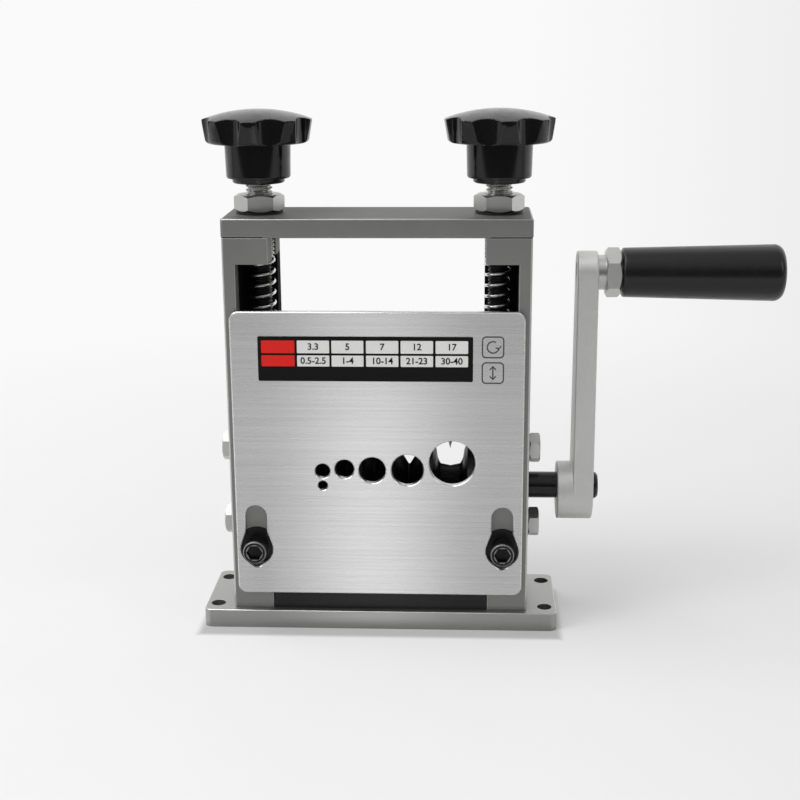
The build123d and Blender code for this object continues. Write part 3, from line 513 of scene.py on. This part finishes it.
def cut_thread(name, x, crest, root, pitch, bottom, top, material):
    """An upright thread at this place along the crossbar."""
    return grown(
        name,
        thread_tree,
        thread_line(crest, root, pitch, bottom, top),
        Columns=49,
        Pitch=pitch * mm,
        Bottom=bottom * mm,
        Top=top * mm,
        Root=root * mm,
        Place=(x * mm, 0, 0),
        Finish=material,
    )


def turned(name, line, place, turn, material):
    """A plain turned piece."""
    return grown(name, plain_tree, line, Columns=65, Place=place, Turn=turn, Finish=material)


def joined(first, *others):
    """One piece from several meshes at rest."""
    shape = bmesh.new()
    for piece in (first, *others):
        shape.from_mesh(piece.data)
    shape.to_mesh(first.data)
    shape.free()
    for piece in others:
        bpy.data.objects.remove(piece)
    return first


plain_tree = turned_tree("plain_turning", (), lambda angle, radius, height, given: (radius, height))
bright_thread = worked_metal(
    "bright_thread", (0.45, 0.45, 0.44), (0.62, 0.62, 0.6), (0.5, 0.5, 0.5), (0.2, 0.34)
)
for side, s in sides.items():
    x = s * screw_x
    spigot = turned(f"{side}_spigot", spigot_line, (x * mm, 0, 0), (0, 0, 0), black_oxide)
    lower = cut_thread(f"{side}_lower_thread", x, 3.75, 3.2, 1.25, shank_foot, main_foot, black_oxide)
    lower = joined(lower, spigot)
    finished(lower, black_oxide, f"{side}_screw", "black_steel", f"{side}_adjusting_screw", sharp=25)
    upper = cut_thread(f"{side}_main_thread", x, 4.95, 4.1, 1.5, main_foot, screw_top, bright_thread)
    finished(upper, bright_thread, f"{side}_screw", "zinc_steel", f"{side}_adjusting_screw", sharp=25)
    dress(black_oxide, f"{side}_screw_clip")

# ---------------------------------------------------------------- springs
# Compression springs round the lower threads, wound from bright wire with the last turn at each end
# closed. They press the slider blocks down.
spring_start = {"left": 170.0, "right": 108.0}
spring_r, spring_wire_r = 4.7, 0.575
spring_turns = 7.0
closed_turns = 1.35
spring_low, spring_pitch = 108.07, 3.99
spring_bottom, spring_top = 105.7, 138.4


def wound_tree():
    """A Geometry Nodes tree for a compression spring on an upright axis."""
    tree = bpy.data.node_groups.new("wound_spring", "GeometryNodeTree")
    kinds = {"Line": "NodeSocketGeometry", "Steps": "NodeSocketInt", "Place": "NodeSocketVector"}
    kinds |= {"Finish": "NodeSocketMaterial"}
    sizes = ("Coil", "Wire", "Start", "First Turn", "Last Turn", "Low", "Pitch", "Bottom", "Top")
    kinds |= {size: "NodeSocketFloat" for size in sizes}
    for label, kind in kinds.items():
        tree.interface.new_socket(label, in_out="INPUT", socket_type=kind)
    tree.interface.new_socket("Piece", in_out="OUTPUT", socket_type="NodeSocketGeometry")
    given = tree.nodes.new("NodeGroupInput")
    given = {label: Signal(tree, given.outputs[label]) for label in kinds}
    start = given["Line"]
    line = start.node("GeometryNodeMeshLine", {}, {"Count": given["Steps"]})
    line = line.node("GeometryNodeMeshToCurve", {}, {"Mesh": line})
    index = start.node("GeometryNodeInputIndex", {}, {})
    turn = given["First Turn"] + (given["Last Turn"] - given["First Turn"]) * index / (given["Steps"] - 1)
    height = given["Low"] + given["Pitch"] * turn
    height = height.maths("SMOOTH_MAX", height, given["Bottom"], 0.4 * mm)
    height = height.maths("SMOOTH_MIN", height, given["Top"], 0.4 * mm)
    angle = given["Start"] + turn * (2 * math.pi)
    across = given["Coil"] * angle.maths("COSINE", angle)
    back = given["Coil"] * angle.maths("SINE", angle)
    spot = start.node("ShaderNodeCombineXYZ", {}, {"X": across, "Y": back, "Z": height})
    line = line.node("GeometryNodeSetPosition", {}, {"Geometry": line, "Position": spot})
    ring = line.node("GeometryNodeCurvePrimitiveCircle", {}, {"Resolution": 14, "Radius": given["Wire"]})
    wire = {"Curve": line, "Profile Curve": ring, "Fill Caps": True}
    wire = line.node("GeometryNodeCurveToMesh", {}, wire)
    wire = wire.node("GeometryNodeTransform", {}, {"Geometry": wire, "Translation": given["Place"]})
    wire = wire.node("GeometryNodeRealizeInstances", {}, {"Geometry": wire})
    wire = wire.node("GeometryNodeSetMaterial", {}, {"Geometry": wire, "Material": given["Finish"]})
    tree.links.new(wire.socket, tree.nodes.new("NodeGroupOutput").inputs["Piece"])
    return tree


spring_wire = worked_metal(
    "spring_wire", (0.7, 0.7, 0.69), (0.88, 0.88, 0.86), (1.0, 1.0, 1.0), (0.16, 0.28), marks=0.006
)
spring_tree = wound_tree()
for side, s in sides.items():
    spring = grown(
        f"{side}_wound_spring",
        spring_tree,
        [(0, 0), (1, 0)],
        Steps=460,
        Coil=spring_r * mm,
        Wire=spring_wire_r * mm,
        Start=math.radians(spring_start[side]),
        First_Turn=-closed_turns,
        Last_Turn=spring_turns + closed_turns,
        Low=spring_low * mm,
        Pitch=spring_pitch * mm,
        Bottom=spring_bottom * mm,
        Top=spring_top * mm,
        Place=(s * screw_x * mm, 0, 0),
        Finish=spring_wire,
    )
    finished(spring, spring_wire, "blade_carriage", "spring_steel", f"{side}_spring", sharp=50)

# ---------------------------------------------------------------- lock nuts
# Zinc-plated steel hexagon nuts, each on a thin black washer. Tightened down on the crossbar, they lock
# the adjusting screws.
for side in sides:
    dress(bright_zinc, f"{side}_lock_nut")
    dress(black_oxide, f"{side}_lock_washer")

# ---------------------------------------------------------------- star knobs
# Moulded in glossy black plastic: a domed head with eight finger valleys on a plain hub, fixed on the
# top of each adjusting screw.
valley_turn = {"left": -68.4, "right": -104.0}
valleys = 8


def scalloped(angle, radius, height, given):
    """The head's rim with a round scoop at each valley, its corners softened."""
    part = 2 * math.pi / valleys
    off = (angle / part).maths("FRACT", angle / part + 0.5) * part - part / 2
    sine = given["Scoop Place"] * off.maths("SINE", off)
    reach = given["Scoop"] * given["Scoop"] - sine * sine
    open_side = reach.maths("GREATER_THAN", reach, 0.0)
    chord = reach.maths("SQRT", reach.maths("MAXIMUM", reach, 0.0))
    edge = given["Scoop Place"] * off.maths("COSINE", off) - chord
    edge = edge * open_side + (1 - open_side) * given["Rim"]
    edge = edge.maths("SMOOTH_MIN", edge, given["Rim"], given["Soft"])
    return radius.maths("SMOOTH_MIN", radius, edge, given["Crest"]), height


knob_tree = turned_tree("star_knob", ("Scoop", "Scoop Place", "Rim", "Soft", "Crest"), scalloped)
knob_r, knob_top = 20.0, 192.99
dome_rise = 3.6
dome_r = (knob_r**2 + dome_rise**2) / (2 * dome_rise)
dome_edge_r, rim_z = 19.4, 188.95
head_foot, head_foot_r = 181.0, 17.3
side_drop, side_taper, foot_round = 6.35, 1.1, 1.6
hub_foot, hub_top, bore_r = 166.7, 181.2, 5.05
quarter_steps = [n * math.pi / 12 for n in range(1, 7)]
dome_angles = [n * math.asin(dome_edge_r / dome_r) / 40 for n in range(41)]
head_line = [(math.sin(a) * dome_r, knob_top - dome_r + math.cos(a) * dome_r) for a in dome_angles]
head_line += [(dome_edge_r + 0.6 * math.sin(a), rim_z + 0.62 * math.cos(a)) for a in quarter_steps]
head_line += [(knob_r - side_taper * n / 6, rim_z - side_drop * n / 6) for n in range(1, 7)]
for a in quarter_steps:
    head_line += [(head_foot_r + foot_round * math.cos(a), rim_z - side_drop - foot_round * math.sin(a))]
head_line += [(15.0, head_foot), (12.0, head_foot), (0, head_foot)]
hub_line = [(12.0, hub_top), (12.0, 180.8), (11.73, 169.3), (11.72, 169.0), (11.4, 168.5), (9.55, 168.5)]
hub_line += [(9.55, 167.1), (9.15, hub_foot), (bore_r, hub_foot), (bore_r, hub_top), (12.0, hub_top)]


def moulded_plastic(name, colour, rough, shine, coat, coat_rough):
    """Glossy moulded plastic: a faint ripple, a fine dusty haze and small rubbed patches."""
    place, link = new_finish(name, IOR=1.5, Coat_Roughness=coat_rough, Specular_IOR_Level=shine)
    ripple = place.noise(0.12, 2.0)
    specks = place.noise(2.6, 3.0, 0.6)
    rubbed = place.noise(0.3, 4.0).steps((0.45, 0.0), (0.7, 1.0))
    worn = tuple(channel * 1.5 + 0.0015 for channel in colour)
    return link(
        Base_Color=(rubbed * 0.7 + specks * 0.3).tint(colour, worn),
        Roughness=rough + specks * 0.08 + rubbed * 0.06,
        Coat_Weight=coat - rubbed * coat * 0.2,
        Normal=relief(ripple * 0.95 + specks * 0.05, 0.02),
    )


knob_plastic = moulded_plastic("knob_plastic", (0.0025, 0.0025, 0.0025), 0.25, 0.04, 0.75, 0.07)
for side, s in sides.items():
    x = s * screw_x
    valley = math.radians(valley_turn[side])
    head = grown(
        f"{side}_knob_head",
        knob_tree,
        head_line,
        Columns=385,
        Place=(x * mm, 0, 0),
        Turn=(0, 0, valley),
        Scoop=8.0 * mm,
        Scoop_Place=25.5 * mm,
        Rim=knob_r * mm,
        Soft=1.2 * mm,
        Crest=0.35 * mm,
        Finish=knob_plastic,
    )
    hub = turned(f"{side}_knob_hub", hub_line, (x * mm, 0, 0), (0, 0, 0), knob_plastic)
    knob = joined(head, hub)
    finished(knob, knob_plastic, f"{side}_screw", "knob_plastic", f"{side}_star_knob", sharp=50)

# ---------------------------------------------------------------- guide plate
# Stainless sheet, brushed along its length, with a broken edge all round and round every hole.
# Two small signs, a turning arrow and a rise-and-fall arrow, are engraved beside the label.


def brushed_plate(name):
    """Stainless steel brushed along x: fine and coarse streaks, and long soft clouds of tone."""
    place, link = new_finish(name, Metallic=1.0, Anisotropic=0.95, Anisotropic_Rotation=0.25)
    fine = place.stretched((0.03, 5.0, 5.0)).noise(1.0, 5.0, 0.75)
    coarse = place.stretched((0.014, 1.4, 1.4)).noise(1.0, 3.0, 0.65)
    cloud = place.stretched((0.01, 0.03, 0.03)).noise(1.0, 2.0)
    lines = fine.steps((0.3, 0.0), (0.7, 1.0)) * 0.55 + coarse.steps((0.3, 0.0), (0.7, 1.0)) * 0.45
    tone = lines * 0.75 + cloud * 0.25
    return link(
        Base_Color=tone.tint((0.6, 0.6, 0.6), (0.88, 0.88, 0.88)),
        Roughness=0.2 + fine * 0.14,
        Normal=relief(fine * 0.7 + coarse * 0.3, 0.01),
    )


plate_steel = brushed_plate("brushed_stainless")
# The plate's broken edges take a pale, mostly unmetallic finish: a painted highlight round the sheet and
# every hole.
plate_edge = worked_metal(
    "plate_edge", (0.72, 0.72, 0.71), (0.9, 0.9, 0.89), (0.4, 0.4, 0.4), (0.4, 0.5), 0.006, 0.25
)
eased("guide_plate", "plate_sheet", plate_steel, plate_edge, "guide_plate", "plate_steel", 0.26, True, True)
sign_x, turn_z, lift_z = 41.85, 109.8, 100.3
sign_half, sign_corner = 3.8, 1.3
line_half = 0.25
sign_front, sign_back = -19.83, -19.75


def ribbon(shape, points, closed=False):
    """A thin engraved line through the points."""
    count = len(points)
    edges = []
    for n, (x, z) in enumerate(points):
        before = points[n - 1] if closed or n else points[0]
        after = points[(n + 1) % count] if closed or n + 1 < count else points[-1]
        along = Vector((after[0] - before[0], after[1] - before[1])).normalized()
        side_x, side_z = -along.y * line_half, along.x * line_half
        corners = ((x + side_x, z + side_z), (x - side_x, z - side_z))
        spots = [(a * mm, y * mm, b * mm) for y in (sign_front, sign_back) for a, b in corners]
        edges.append([shape.verts.new(spot) for spot in spots])
    pairs = list(zip(edges, edges[1:] + edges[:1])) if closed else list(zip(edges, edges[1:]))
    for (a, b, c, d), (e, f, g, h) in pairs:
        for ring in ((a, b, f, e), (d, c, g, h), (b, d, h, f), (c, a, e, g)):
            shape.faces.new(ring)
    if not closed:
        shape.faces.new((edges[0][0], edges[0][2], edges[0][3], edges[0][1]))
        shape.faces.new((edges[-1][1], edges[-1][3], edges[-1][2], edges[-1][0]))


def arc(x, z, radius, first, last, steps):
    """Points round a middle, from one angle to another."""
    angles = [math.radians(first + (last - first) * n / steps) for n in range(steps + 1)]
    return [(x + radius * math.cos(a), z + radius * math.sin(a)) for a in angles]


def sign_frame(x, z):
    """A square with round corners."""
    inner = sign_half - sign_corner
    points = []
    for first, (dx, dz) in zip((0, 90, 180, 270), ((1, 1), (-1, 1), (-1, -1), (1, -1))):
        points += arc(x + dx * inner, z + dz * inner, sign_corner, first, first + 90, 6)
    return points


shape = bmesh.new()
for z in (turn_z, lift_z):
    ribbon(shape, sign_frame(sign_x, z), True)
ribbon(shape, arc(sign_x, turn_z, 2.1, 60, 350, 24))
ribbon(shape, [(sign_x + 0.9, turn_z - 0.1), (sign_x + 2.0, turn_z - 0.5), (sign_x + 2.9, turn_z + 0.4)])
ribbon(shape, [(sign_x, lift_z - 2.3), (sign_x, lift_z + 2.3)])
for way in (-1, 1):
    tip = lift_z + way * 2.4
    barb = tip - way * 1.2
    ribbon(shape, [(sign_x - 1.1, barb), (sign_x, tip), (sign_x + 1.1, barb)])
bmesh.ops.recalc_face_normals(shape, faces=shape.faces)
signs = placed("engraved_signs", bpy.data.meshes.new("engraved_signs"))
shape.to_mesh(signs.data)
shape.free()
engraving = worked_metal(
    "engraving", (0.05, 0.05, 0.05), (0.11, 0.11, 0.11), (0.6, 3.0, 3.0), (0.45, 0.6), 0.004, 0.5
)
finished(signs, engraving, "guide_plate", "plate_steel")

# ---------------------------------------------------------------- size label
# A thin black label glued on the plate, with two rows of printed cells: a red one without words, then
# five pale ones with plain numbers.


def printed_ink(name, dark, light, shine=0.5):
    """Printing ink, slightly mottled."""
    place, link = new_finish(name, Specular_IOR_Level=shine)
    mottle = place.noise(1.2, 4.0, 0.6)
    ink = mottle.tint(dark, light)
    return link(Base_Color=ink, Roughness=0.4 + mottle * 0.15, Normal=relief(mottle, 0.004))


dress(printed_ink("label_black", (0.003, 0.003, 0.003), (0.008, 0.008, 0.008), 0.12), "size_label")
cell_columns = ((-41.9, -29.8), (-28.9, -17.2), (-16.4, -4.8), (-3.9, 7.8), (8.6, 20.3), (21.2, 32.9))
cell_rows = ((107.4, 112.1), (102.5, 106.6))
cell_words = (("3.3", "5", "7", "12", "17"), ("0.5-2.5", "1-4", "10-14", "21-23", "30-40"))
label_front = -20.1
cell_front, cell_back, cell_corner = label_front - 0.03, label_front + 0.05, 0.2
number_front = label_front - 0.04
number_size, number_weight, number_thick = 3.4, 0.07, 0.02


def print_cells(name, cells, material):
    """Thin printed rectangles on the label, with their corners cut."""
    mesh = bpy.data.meshes.new(name)
    shape = bmesh.new()
    for (x0, x1), (z0, z1) in cells:
        left, right, low, high = x0 + cell_corner, x1 - cell_corner, z0 + cell_corner, z1 - cell_corner
        ring = [(left, z0), (right, z0), (x1, low), (x1, high)]
        ring += [(right, z1), (left, z1), (x0, high), (x0, low)]
        near = [shape.verts.new((x * mm, cell_front * mm, z * mm)) for x, z in ring]
        far = [shape.verts.new((x * mm, cell_back * mm, z * mm)) for x, z in ring]
        shape.faces.new(near)
        shape.faces.new(far[::-1])
        for n in range(8):
            shape.faces.new((near[n], far[n], far[(n + 1) % 8], near[(n + 1) % 8]))
    bmesh.ops.recalc_face_normals(shape, faces=shape.faces)
    shape.to_mesh(mesh)
    shape.free()
    finished(placed(name, mesh), material, "guide_plate", "label_face")


pale_ink = printed_ink("pale_ink", (0.66, 0.66, 0.655), (0.78, 0.78, 0.77))
red_ink = printed_ink("red_ink", (0.62, 0.012, 0.01), (0.74, 0.025, 0.018), 0.15)
print_cells("label_pale_cells", [(c, r) for c in cell_columns[1:] for r in cell_rows], pale_ink)
print_cells("label_red_cells", [(cell_columns[0], r) for r in cell_rows], red_ink)
numbers = []
for row, words in zip(cell_rows, cell_words):
    for (x0, x1), word in zip(cell_columns[1:], words):
        curve = bpy.data.curves.new("number", "FONT")
        curve.body = word
        curve.size = number_size * mm
        curve.align_x = "CENTER"
        curve.align_y = "CENTER"
        curve.extrude = number_thick * mm
        curve.offset = number_weight * mm
        curve.resolution_u = 4
        text = placed("number", curve)
        mesh = settled(text)
        bpy.data.objects.remove(text)
        middle = Vector(((x0 + x1) / 2 * mm, number_front * mm, sum(row) / 2 * mm))
        mesh.transform(Matrix.Translation(middle) @ Matrix.Rotation(math.pi / 2, 4, "X"))
        numbers.append(placed("number", mesh))
label_numbers = joined(*numbers)
label_numbers.name = "label_numbers"
dark_ink = printed_ink("dark_ink", (0.006, 0.006, 0.006), (0.012, 0.012, 0.012), 0.15)
finished(label_numbers, dark_ink, "guide_plate", "label_face")

# ---------------------------------------------------------------- plate screws
# Blackened cap screws with knurled heads, turned into the side frames through sleeves that stand in the
# plate's keyhole slots.
plate_screw_x = 46.0
plate_screw_z = 32.4
sleeve_front = -21.0
ribs = 48.0
rib_foot_r, rib_depth = 4.3, 0.2
socket_r = 2.7
outer_rim, outer_rim_half = 4.2, 0.28
inner_rim, inner_rim_half = 2.9, 0.24
rims_front = -25.3


def knurled(angle, radius, height, given):
    """A cap screw: ribs round its head, and a hexagon where the line runs down the socket."""
    wave = angle.maths("COSINE", angle * given["Ribs"]) * 0.5 + 0.5
    ribbed = radius - wave * radius.maths("GREATER_THAN", radius, given["Core"]) * given["Depth"]
    sixth = math.pi / 3
    off = (angle / sixth).maths("FRACT", angle / sixth) * sixth - sixth / 2
    socket = radius.maths("COMPARE", radius, given["Socket"], 0.02 * mm)
    flat = given["Socket"] / off.maths("COSINE", off)
    return ribbed + (flat - ribbed) * socket, height


knurl_tree = turned_tree("knurled_head", ("Ribs", "Core", "Depth", "Socket"), knurled)
screw_line = [(0, -11.0), (2.2, -11.0), (2.5, -10.6), (2.5, 0), (4.1, 0), (4.4, 0.3), (4.4, 4.5)]
screw_line += [(4.0, 4.97), (3.3, 5.0), (socket_r, 4.9), (socket_r, 2.3), (0, 1.7)]


def cap_with_rim_highlights(name):
    """Blackened steel, with a painted highlight in two bright rings on each head: at its rim and round its
    socket.
    """
    place, link = new_finish(name, Metallic=0.8)
    along_x, along_y, along_z = place.axes()
    across = along_x.maths("ABSOLUTE", along_x) - plate_screw_x
    rise = along_z - plate_screw_z
    radius = across.maths("SQRT", across * across + rise * rise)
    # Painted highlight: the two rings are lighter in colour, only on the heads' fronts.
    rim_highlights = radius.maths("COMPARE", radius, outer_rim, outer_rim_half)
    rim_highlights = rim_highlights + radius.maths("COMPARE", radius, inner_rim, inner_rim_half)
    rim_highlights = rim_highlights * along_y.maths("LESS_THAN", along_y, rims_front)
    grain = place.noise(1.2, 4.0, 0.6)
    return link(
        Base_Color=(rim_highlights * (0.6 + grain * 0.4)).tint((0.016, 0.016, 0.016), (0.3, 0.3, 0.3)),
        Roughness=0.28 + grain * 0.14,
        Normal=relief(grain, 0.006),
    )


cap_steel = cap_with_rim_highlights("cap_steel")
cap_screws = []
for s in sides.values():
    cap_screws.append(
        grown(
            "knurled_cap_screws",
            knurl_tree,
            screw_line,
            Columns=193,
            Ribs=ribs,
            Core=rib_foot_r * mm,
            Depth=rib_depth * mm,
            Socket=socket_r * mm,
            Place=(s * plate_screw_x * mm, sleeve_front * mm, plate_screw_z * mm),
            Turn=(math.pi / 2, 0, 0),
            Finish=cap_steel,
        )
    )
finished(joined(*cap_screws), cap_steel, "frame", "black_steel", "plate_screws", sharp=35)
dress(black_oxide, "plate_washers", "plate_sleeves")

# ---------------------------------------------------------------- crank arm
# A flat steel arm with round ends, ground and satin nickel-plated, fixed on the drive shaft by a
# blackened set screw.
crank_metal = worked_metal(
    "crank_metal", (0.6, 0.6, 0.595), (0.78, 0.78, 0.77), (0.9, 0.9, 0.25), (0.48, 0.6), 0.02, 0.85
)
dress(crank_metal, "crank_arm")
dress(black_oxide, "crank_set_screw")

# ---------------------------------------------------------------- handle
# A black plastic grip that spins on a pin. The pin is locked to the arm by a nut; pin, collar and nut
# are zinc-plated steel.
dress(bright_zinc, "handle_pin", "handle_collar", "handle_nut")
grip_plastic = moulded_plastic("grip_plastic", (0.0025, 0.0025, 0.0025), 0.3, 0.3, 0.35, 0.18)
grip_x, grip_z = 88.8, 133.7
grip_bore_r, grip_near_r, grip_widening = 4.05, 8.05, 1.3
near_round, far_round = 1.0, 3.5
taper_end, well_r, well_floor = 55.0, 6.8, 52.4
far_middle_r = grip_near_r + near_round + grip_widening - far_round
grip_line = [(grip_bore_r, 0.0), (grip_near_r, 0.0)]
grip_line += [(grip_near_r + math.sin(a), near_round - math.cos(a)) for a in quarter_steps]
for n in range(1, 31):
    share = n / 30
    along = near_round + (taper_end - near_round) * share
    grip_line += [(grip_near_r + near_round + grip_widening * share, along)]
for n in range(1, 11):
    a = n * math.pi / 20
    grip_line += [(far_middle_r + far_round * math.cos(a), taper_end + far_round * math.sin(a))]
grip_line += [(well_r, taper_end + far_round), (well_r, well_floor)]
grip_line += [(grip_bore_r, well_floor), (grip_bore_r, 0.0)]
grip = turned("turned_grip", grip_line, (grip_x * mm, 0, grip_z * mm), (0, math.pi / 2, 0), grip_plastic)
finished(grip, grip_plastic, "handle", "grip_plastic", "handle_grip", sharp=50)

# ---------------------------------------------------------------- studio
# A pale floor that glows into a pale backdrop for the camera, soft lamps above and at both sides, and
# the camera at the photo's place. Mirror images see a bright strip of floor in front and a dim room.
eye_x, eye_y, eye_z = 32.74, -515.78, 223.0
base_half_x, base_half_y, base_middle_y = 67.0, 23.0, -3.0
contact_band = (-0.5, 3.0)
floor_fade = (60.0, 600.0)
room_fade = (450.0, 700.0)
strip_near = (26.5, 29.0)
strip_far = (-850.0, -560.0)
strip_dimming = (-380.0, -80.0)
bright = (0.94, 0.94, 0.94)
dim = (0.1, 0.1, 0.1)


def lamp(name, size, place, power):
    """A soft oblong lamp that looks at the middle of the object."""
    light = bpy.data.lights.new(name, "AREA")
    light.shape = "RECTANGLE"
    light.size, light.size_y = size
    light.energy = power
    holder = placed(name, light)
    holder.location = place
    aim = Vector((0.0, 0.0, 0.1))
    holder.rotation_euler = (aim - Vector(place)).to_track_quat("-Z", "Y").to_euler()


lamp("lamp_above", (1.3, 0.9), (-0.6, -0.2, 1.4), 12.5)
lamp("lamp_left", (0.5, 1.0), (-1.2, -0.6, 0.8), 5.0)
lamp("lamp_right", (0.4, 0.8), (1.2, -0.6, 0.7), 1.5)

floor = placed("floor", bpy.data.meshes.new("floor"))
shape = bmesh.new()
bmesh.ops.create_grid(shape, x_segments=8, y_segments=8, size=6.0)
shape.to_mesh(floor.data)
shape.free()


def between(value, low, high):
    """0 below the low value, 1 above the high one, and a soft step in between."""
    inputs = {"Value": value, "From Min": low, "From Max": high}
    return value.node("ShaderNodeMapRange", {"interpolation_type": "SMOOTHSTEP"}, inputs)


def seen_tone(direction):
    """The backdrop's tone as the camera sees it: it falls off a little to the right."""
    aside = direction.axes()[0]
    return between(aside / direction.length(), 0.0, 0.3).tint((0.955, 0.955, 0.955), (0.84, 0.84, 0.84))


def light_rays(tree):
    """Whether the camera looks at the backdrop, and whether a reflection or a view through glass does."""
    rays = tree.nodes.new("ShaderNodeLightPath")
    kinds = ("Is Camera Ray", "Is Glossy Ray", "Is Transmission Ray")
    camera_ray, glossy_ray, glass_ray = (Signal(tree, rays.outputs[kind]) for kind in kinds)
    return camera_ray, (glossy_ray + glass_ray).maths("MINIMUM", glossy_ray + glass_ray, 1.0)


# The floor is darker in a narrow band round the base, where little light reaches it.
place, link = new_finish("floor_white", Roughness=0.75, Specular_IOR_Level=0.15)
paper = place.noise(0.02, 2.0).tint((0.82, 0.82, 0.82), (0.85, 0.85, 0.85))
aside, ahead, _ = place.axes()
beside = aside.maths("ABSOLUTE", aside) - base_half_x
before = ahead - base_middle_y
before = before.maths("ABSOLUTE", before) - base_half_y
gap = before.maths("MAXIMUM", before, beside)
white = link(Base_Color=between(gap, *contact_band).tint((0.4, 0.4, 0.4), paper))
tree = white.node_tree
lit = Signal(tree, tree.nodes["Principled BSDF"].outputs[0])
camera_ray, mirrored = light_rays(tree)

# For the camera the floor passes softly into the backdrop's tone.
from_eye = {0: place, 1: (eye_x, eye_y, eye_z)}
from_eye = place.node("ShaderNodeVectorMath", {"operation": "SUBTRACT"}, from_eye)
seen_glow = place.node("ShaderNodeEmission", {}, {"Color": seen_tone(from_eye), "Strength": 1.0})
away = place.length()
share = (between(away, *floor_fade) * 0.8 + 0.2) * camera_ray
ground = place.node("ShaderNodeMixShader", {}, {0: share, 1: lit, 2: seen_glow})

# In mirror images the strip in front is a bright card, brightest in the line of the mirrored eye.
mirrored_eye_y = 476.0
off_middle = (aside - eye_x) / (mirrored_eye_y - ahead) + 0.072
off_middle = off_middle.maths("ABSOLUTE", off_middle)
card_tone = between(off_middle, 0.0, 0.09).tint((1.42, 1.42, 1.42), (0.8, 0.8, 0.8))
card_tone = (between(ahead, *strip_dimming) * 0.24).tint(card_tone, (0.0, 0.0, 0.0))
in_front = between(0.0 - ahead, *strip_near) * between(ahead, *strip_far)
mirror_tone = in_front.tint(between(ahead, -300.0, 400.0).tint(dim, bright), card_tone)
mirror_glow = place.node("ShaderNodeEmission", {}, {"Color": mirror_tone, "Strength": 1.0})
shown = in_front.maths("MAXIMUM", in_front, between(away, *room_fade))
ground = place.node("ShaderNodeMixShader", {}, {0: shown * mirrored, 1: ground, 2: mirror_glow})
tree.links.new(ground.socket, tree.nodes["Material Output"].inputs["Surface"])
floor.data.materials.append(white)

world = bpy.data.worlds.new("studio")
scene.world = world
world.use_nodes = True
tree = world.node_tree
camera_ray, mirrored = light_rays(tree)
direction = Signal(tree, tree.nodes.new("ShaderNodeTexCoord").outputs["Generated"])
_, back, over = direction.axes()
reach = back.maths("MAXIMUM", between(back, -0.1, 0.5), between(over, 0.2, 0.7) * 0.55)
backdrop = reach.tint(dim, bright)
shade = camera_ray.tint(mirrored.tint((0.5, 0.5, 0.5), backdrop), seen_tone(direction))
tree.links.new(shade.socket, tree.nodes["Background"].inputs["Color"])

camera_data = bpy.data.cameras.new("camera")
camera_data.lens = 63.62
camera_data.sensor_width = 36.0
camera_data.clip_start = 0.01
camera = placed("camera", camera_data)
yaw, pitch, roll = 0.0493, 0.2616, -0.0065
forward = Vector((-math.sin(yaw) * math.cos(pitch), math.cos(yaw) * math.cos(pitch), -math.sin(pitch)))
level_right = Vector((math.cos(yaw), math.sin(yaw), 0))
level_up = level_right.cross(forward)
right = level_right * math.cos(roll) + level_up * math.sin(roll)
up = level_up * math.cos(roll) - level_right * math.sin(roll)
turn = Matrix((right, up, -forward)).transposed().to_4x4()
camera.matrix_world = Matrix.Translation(Vector((eye_x, eye_y, eye_z)) * mm) @ turn
scene.camera = camera
scene.view_settings.view_transform = "Standard"
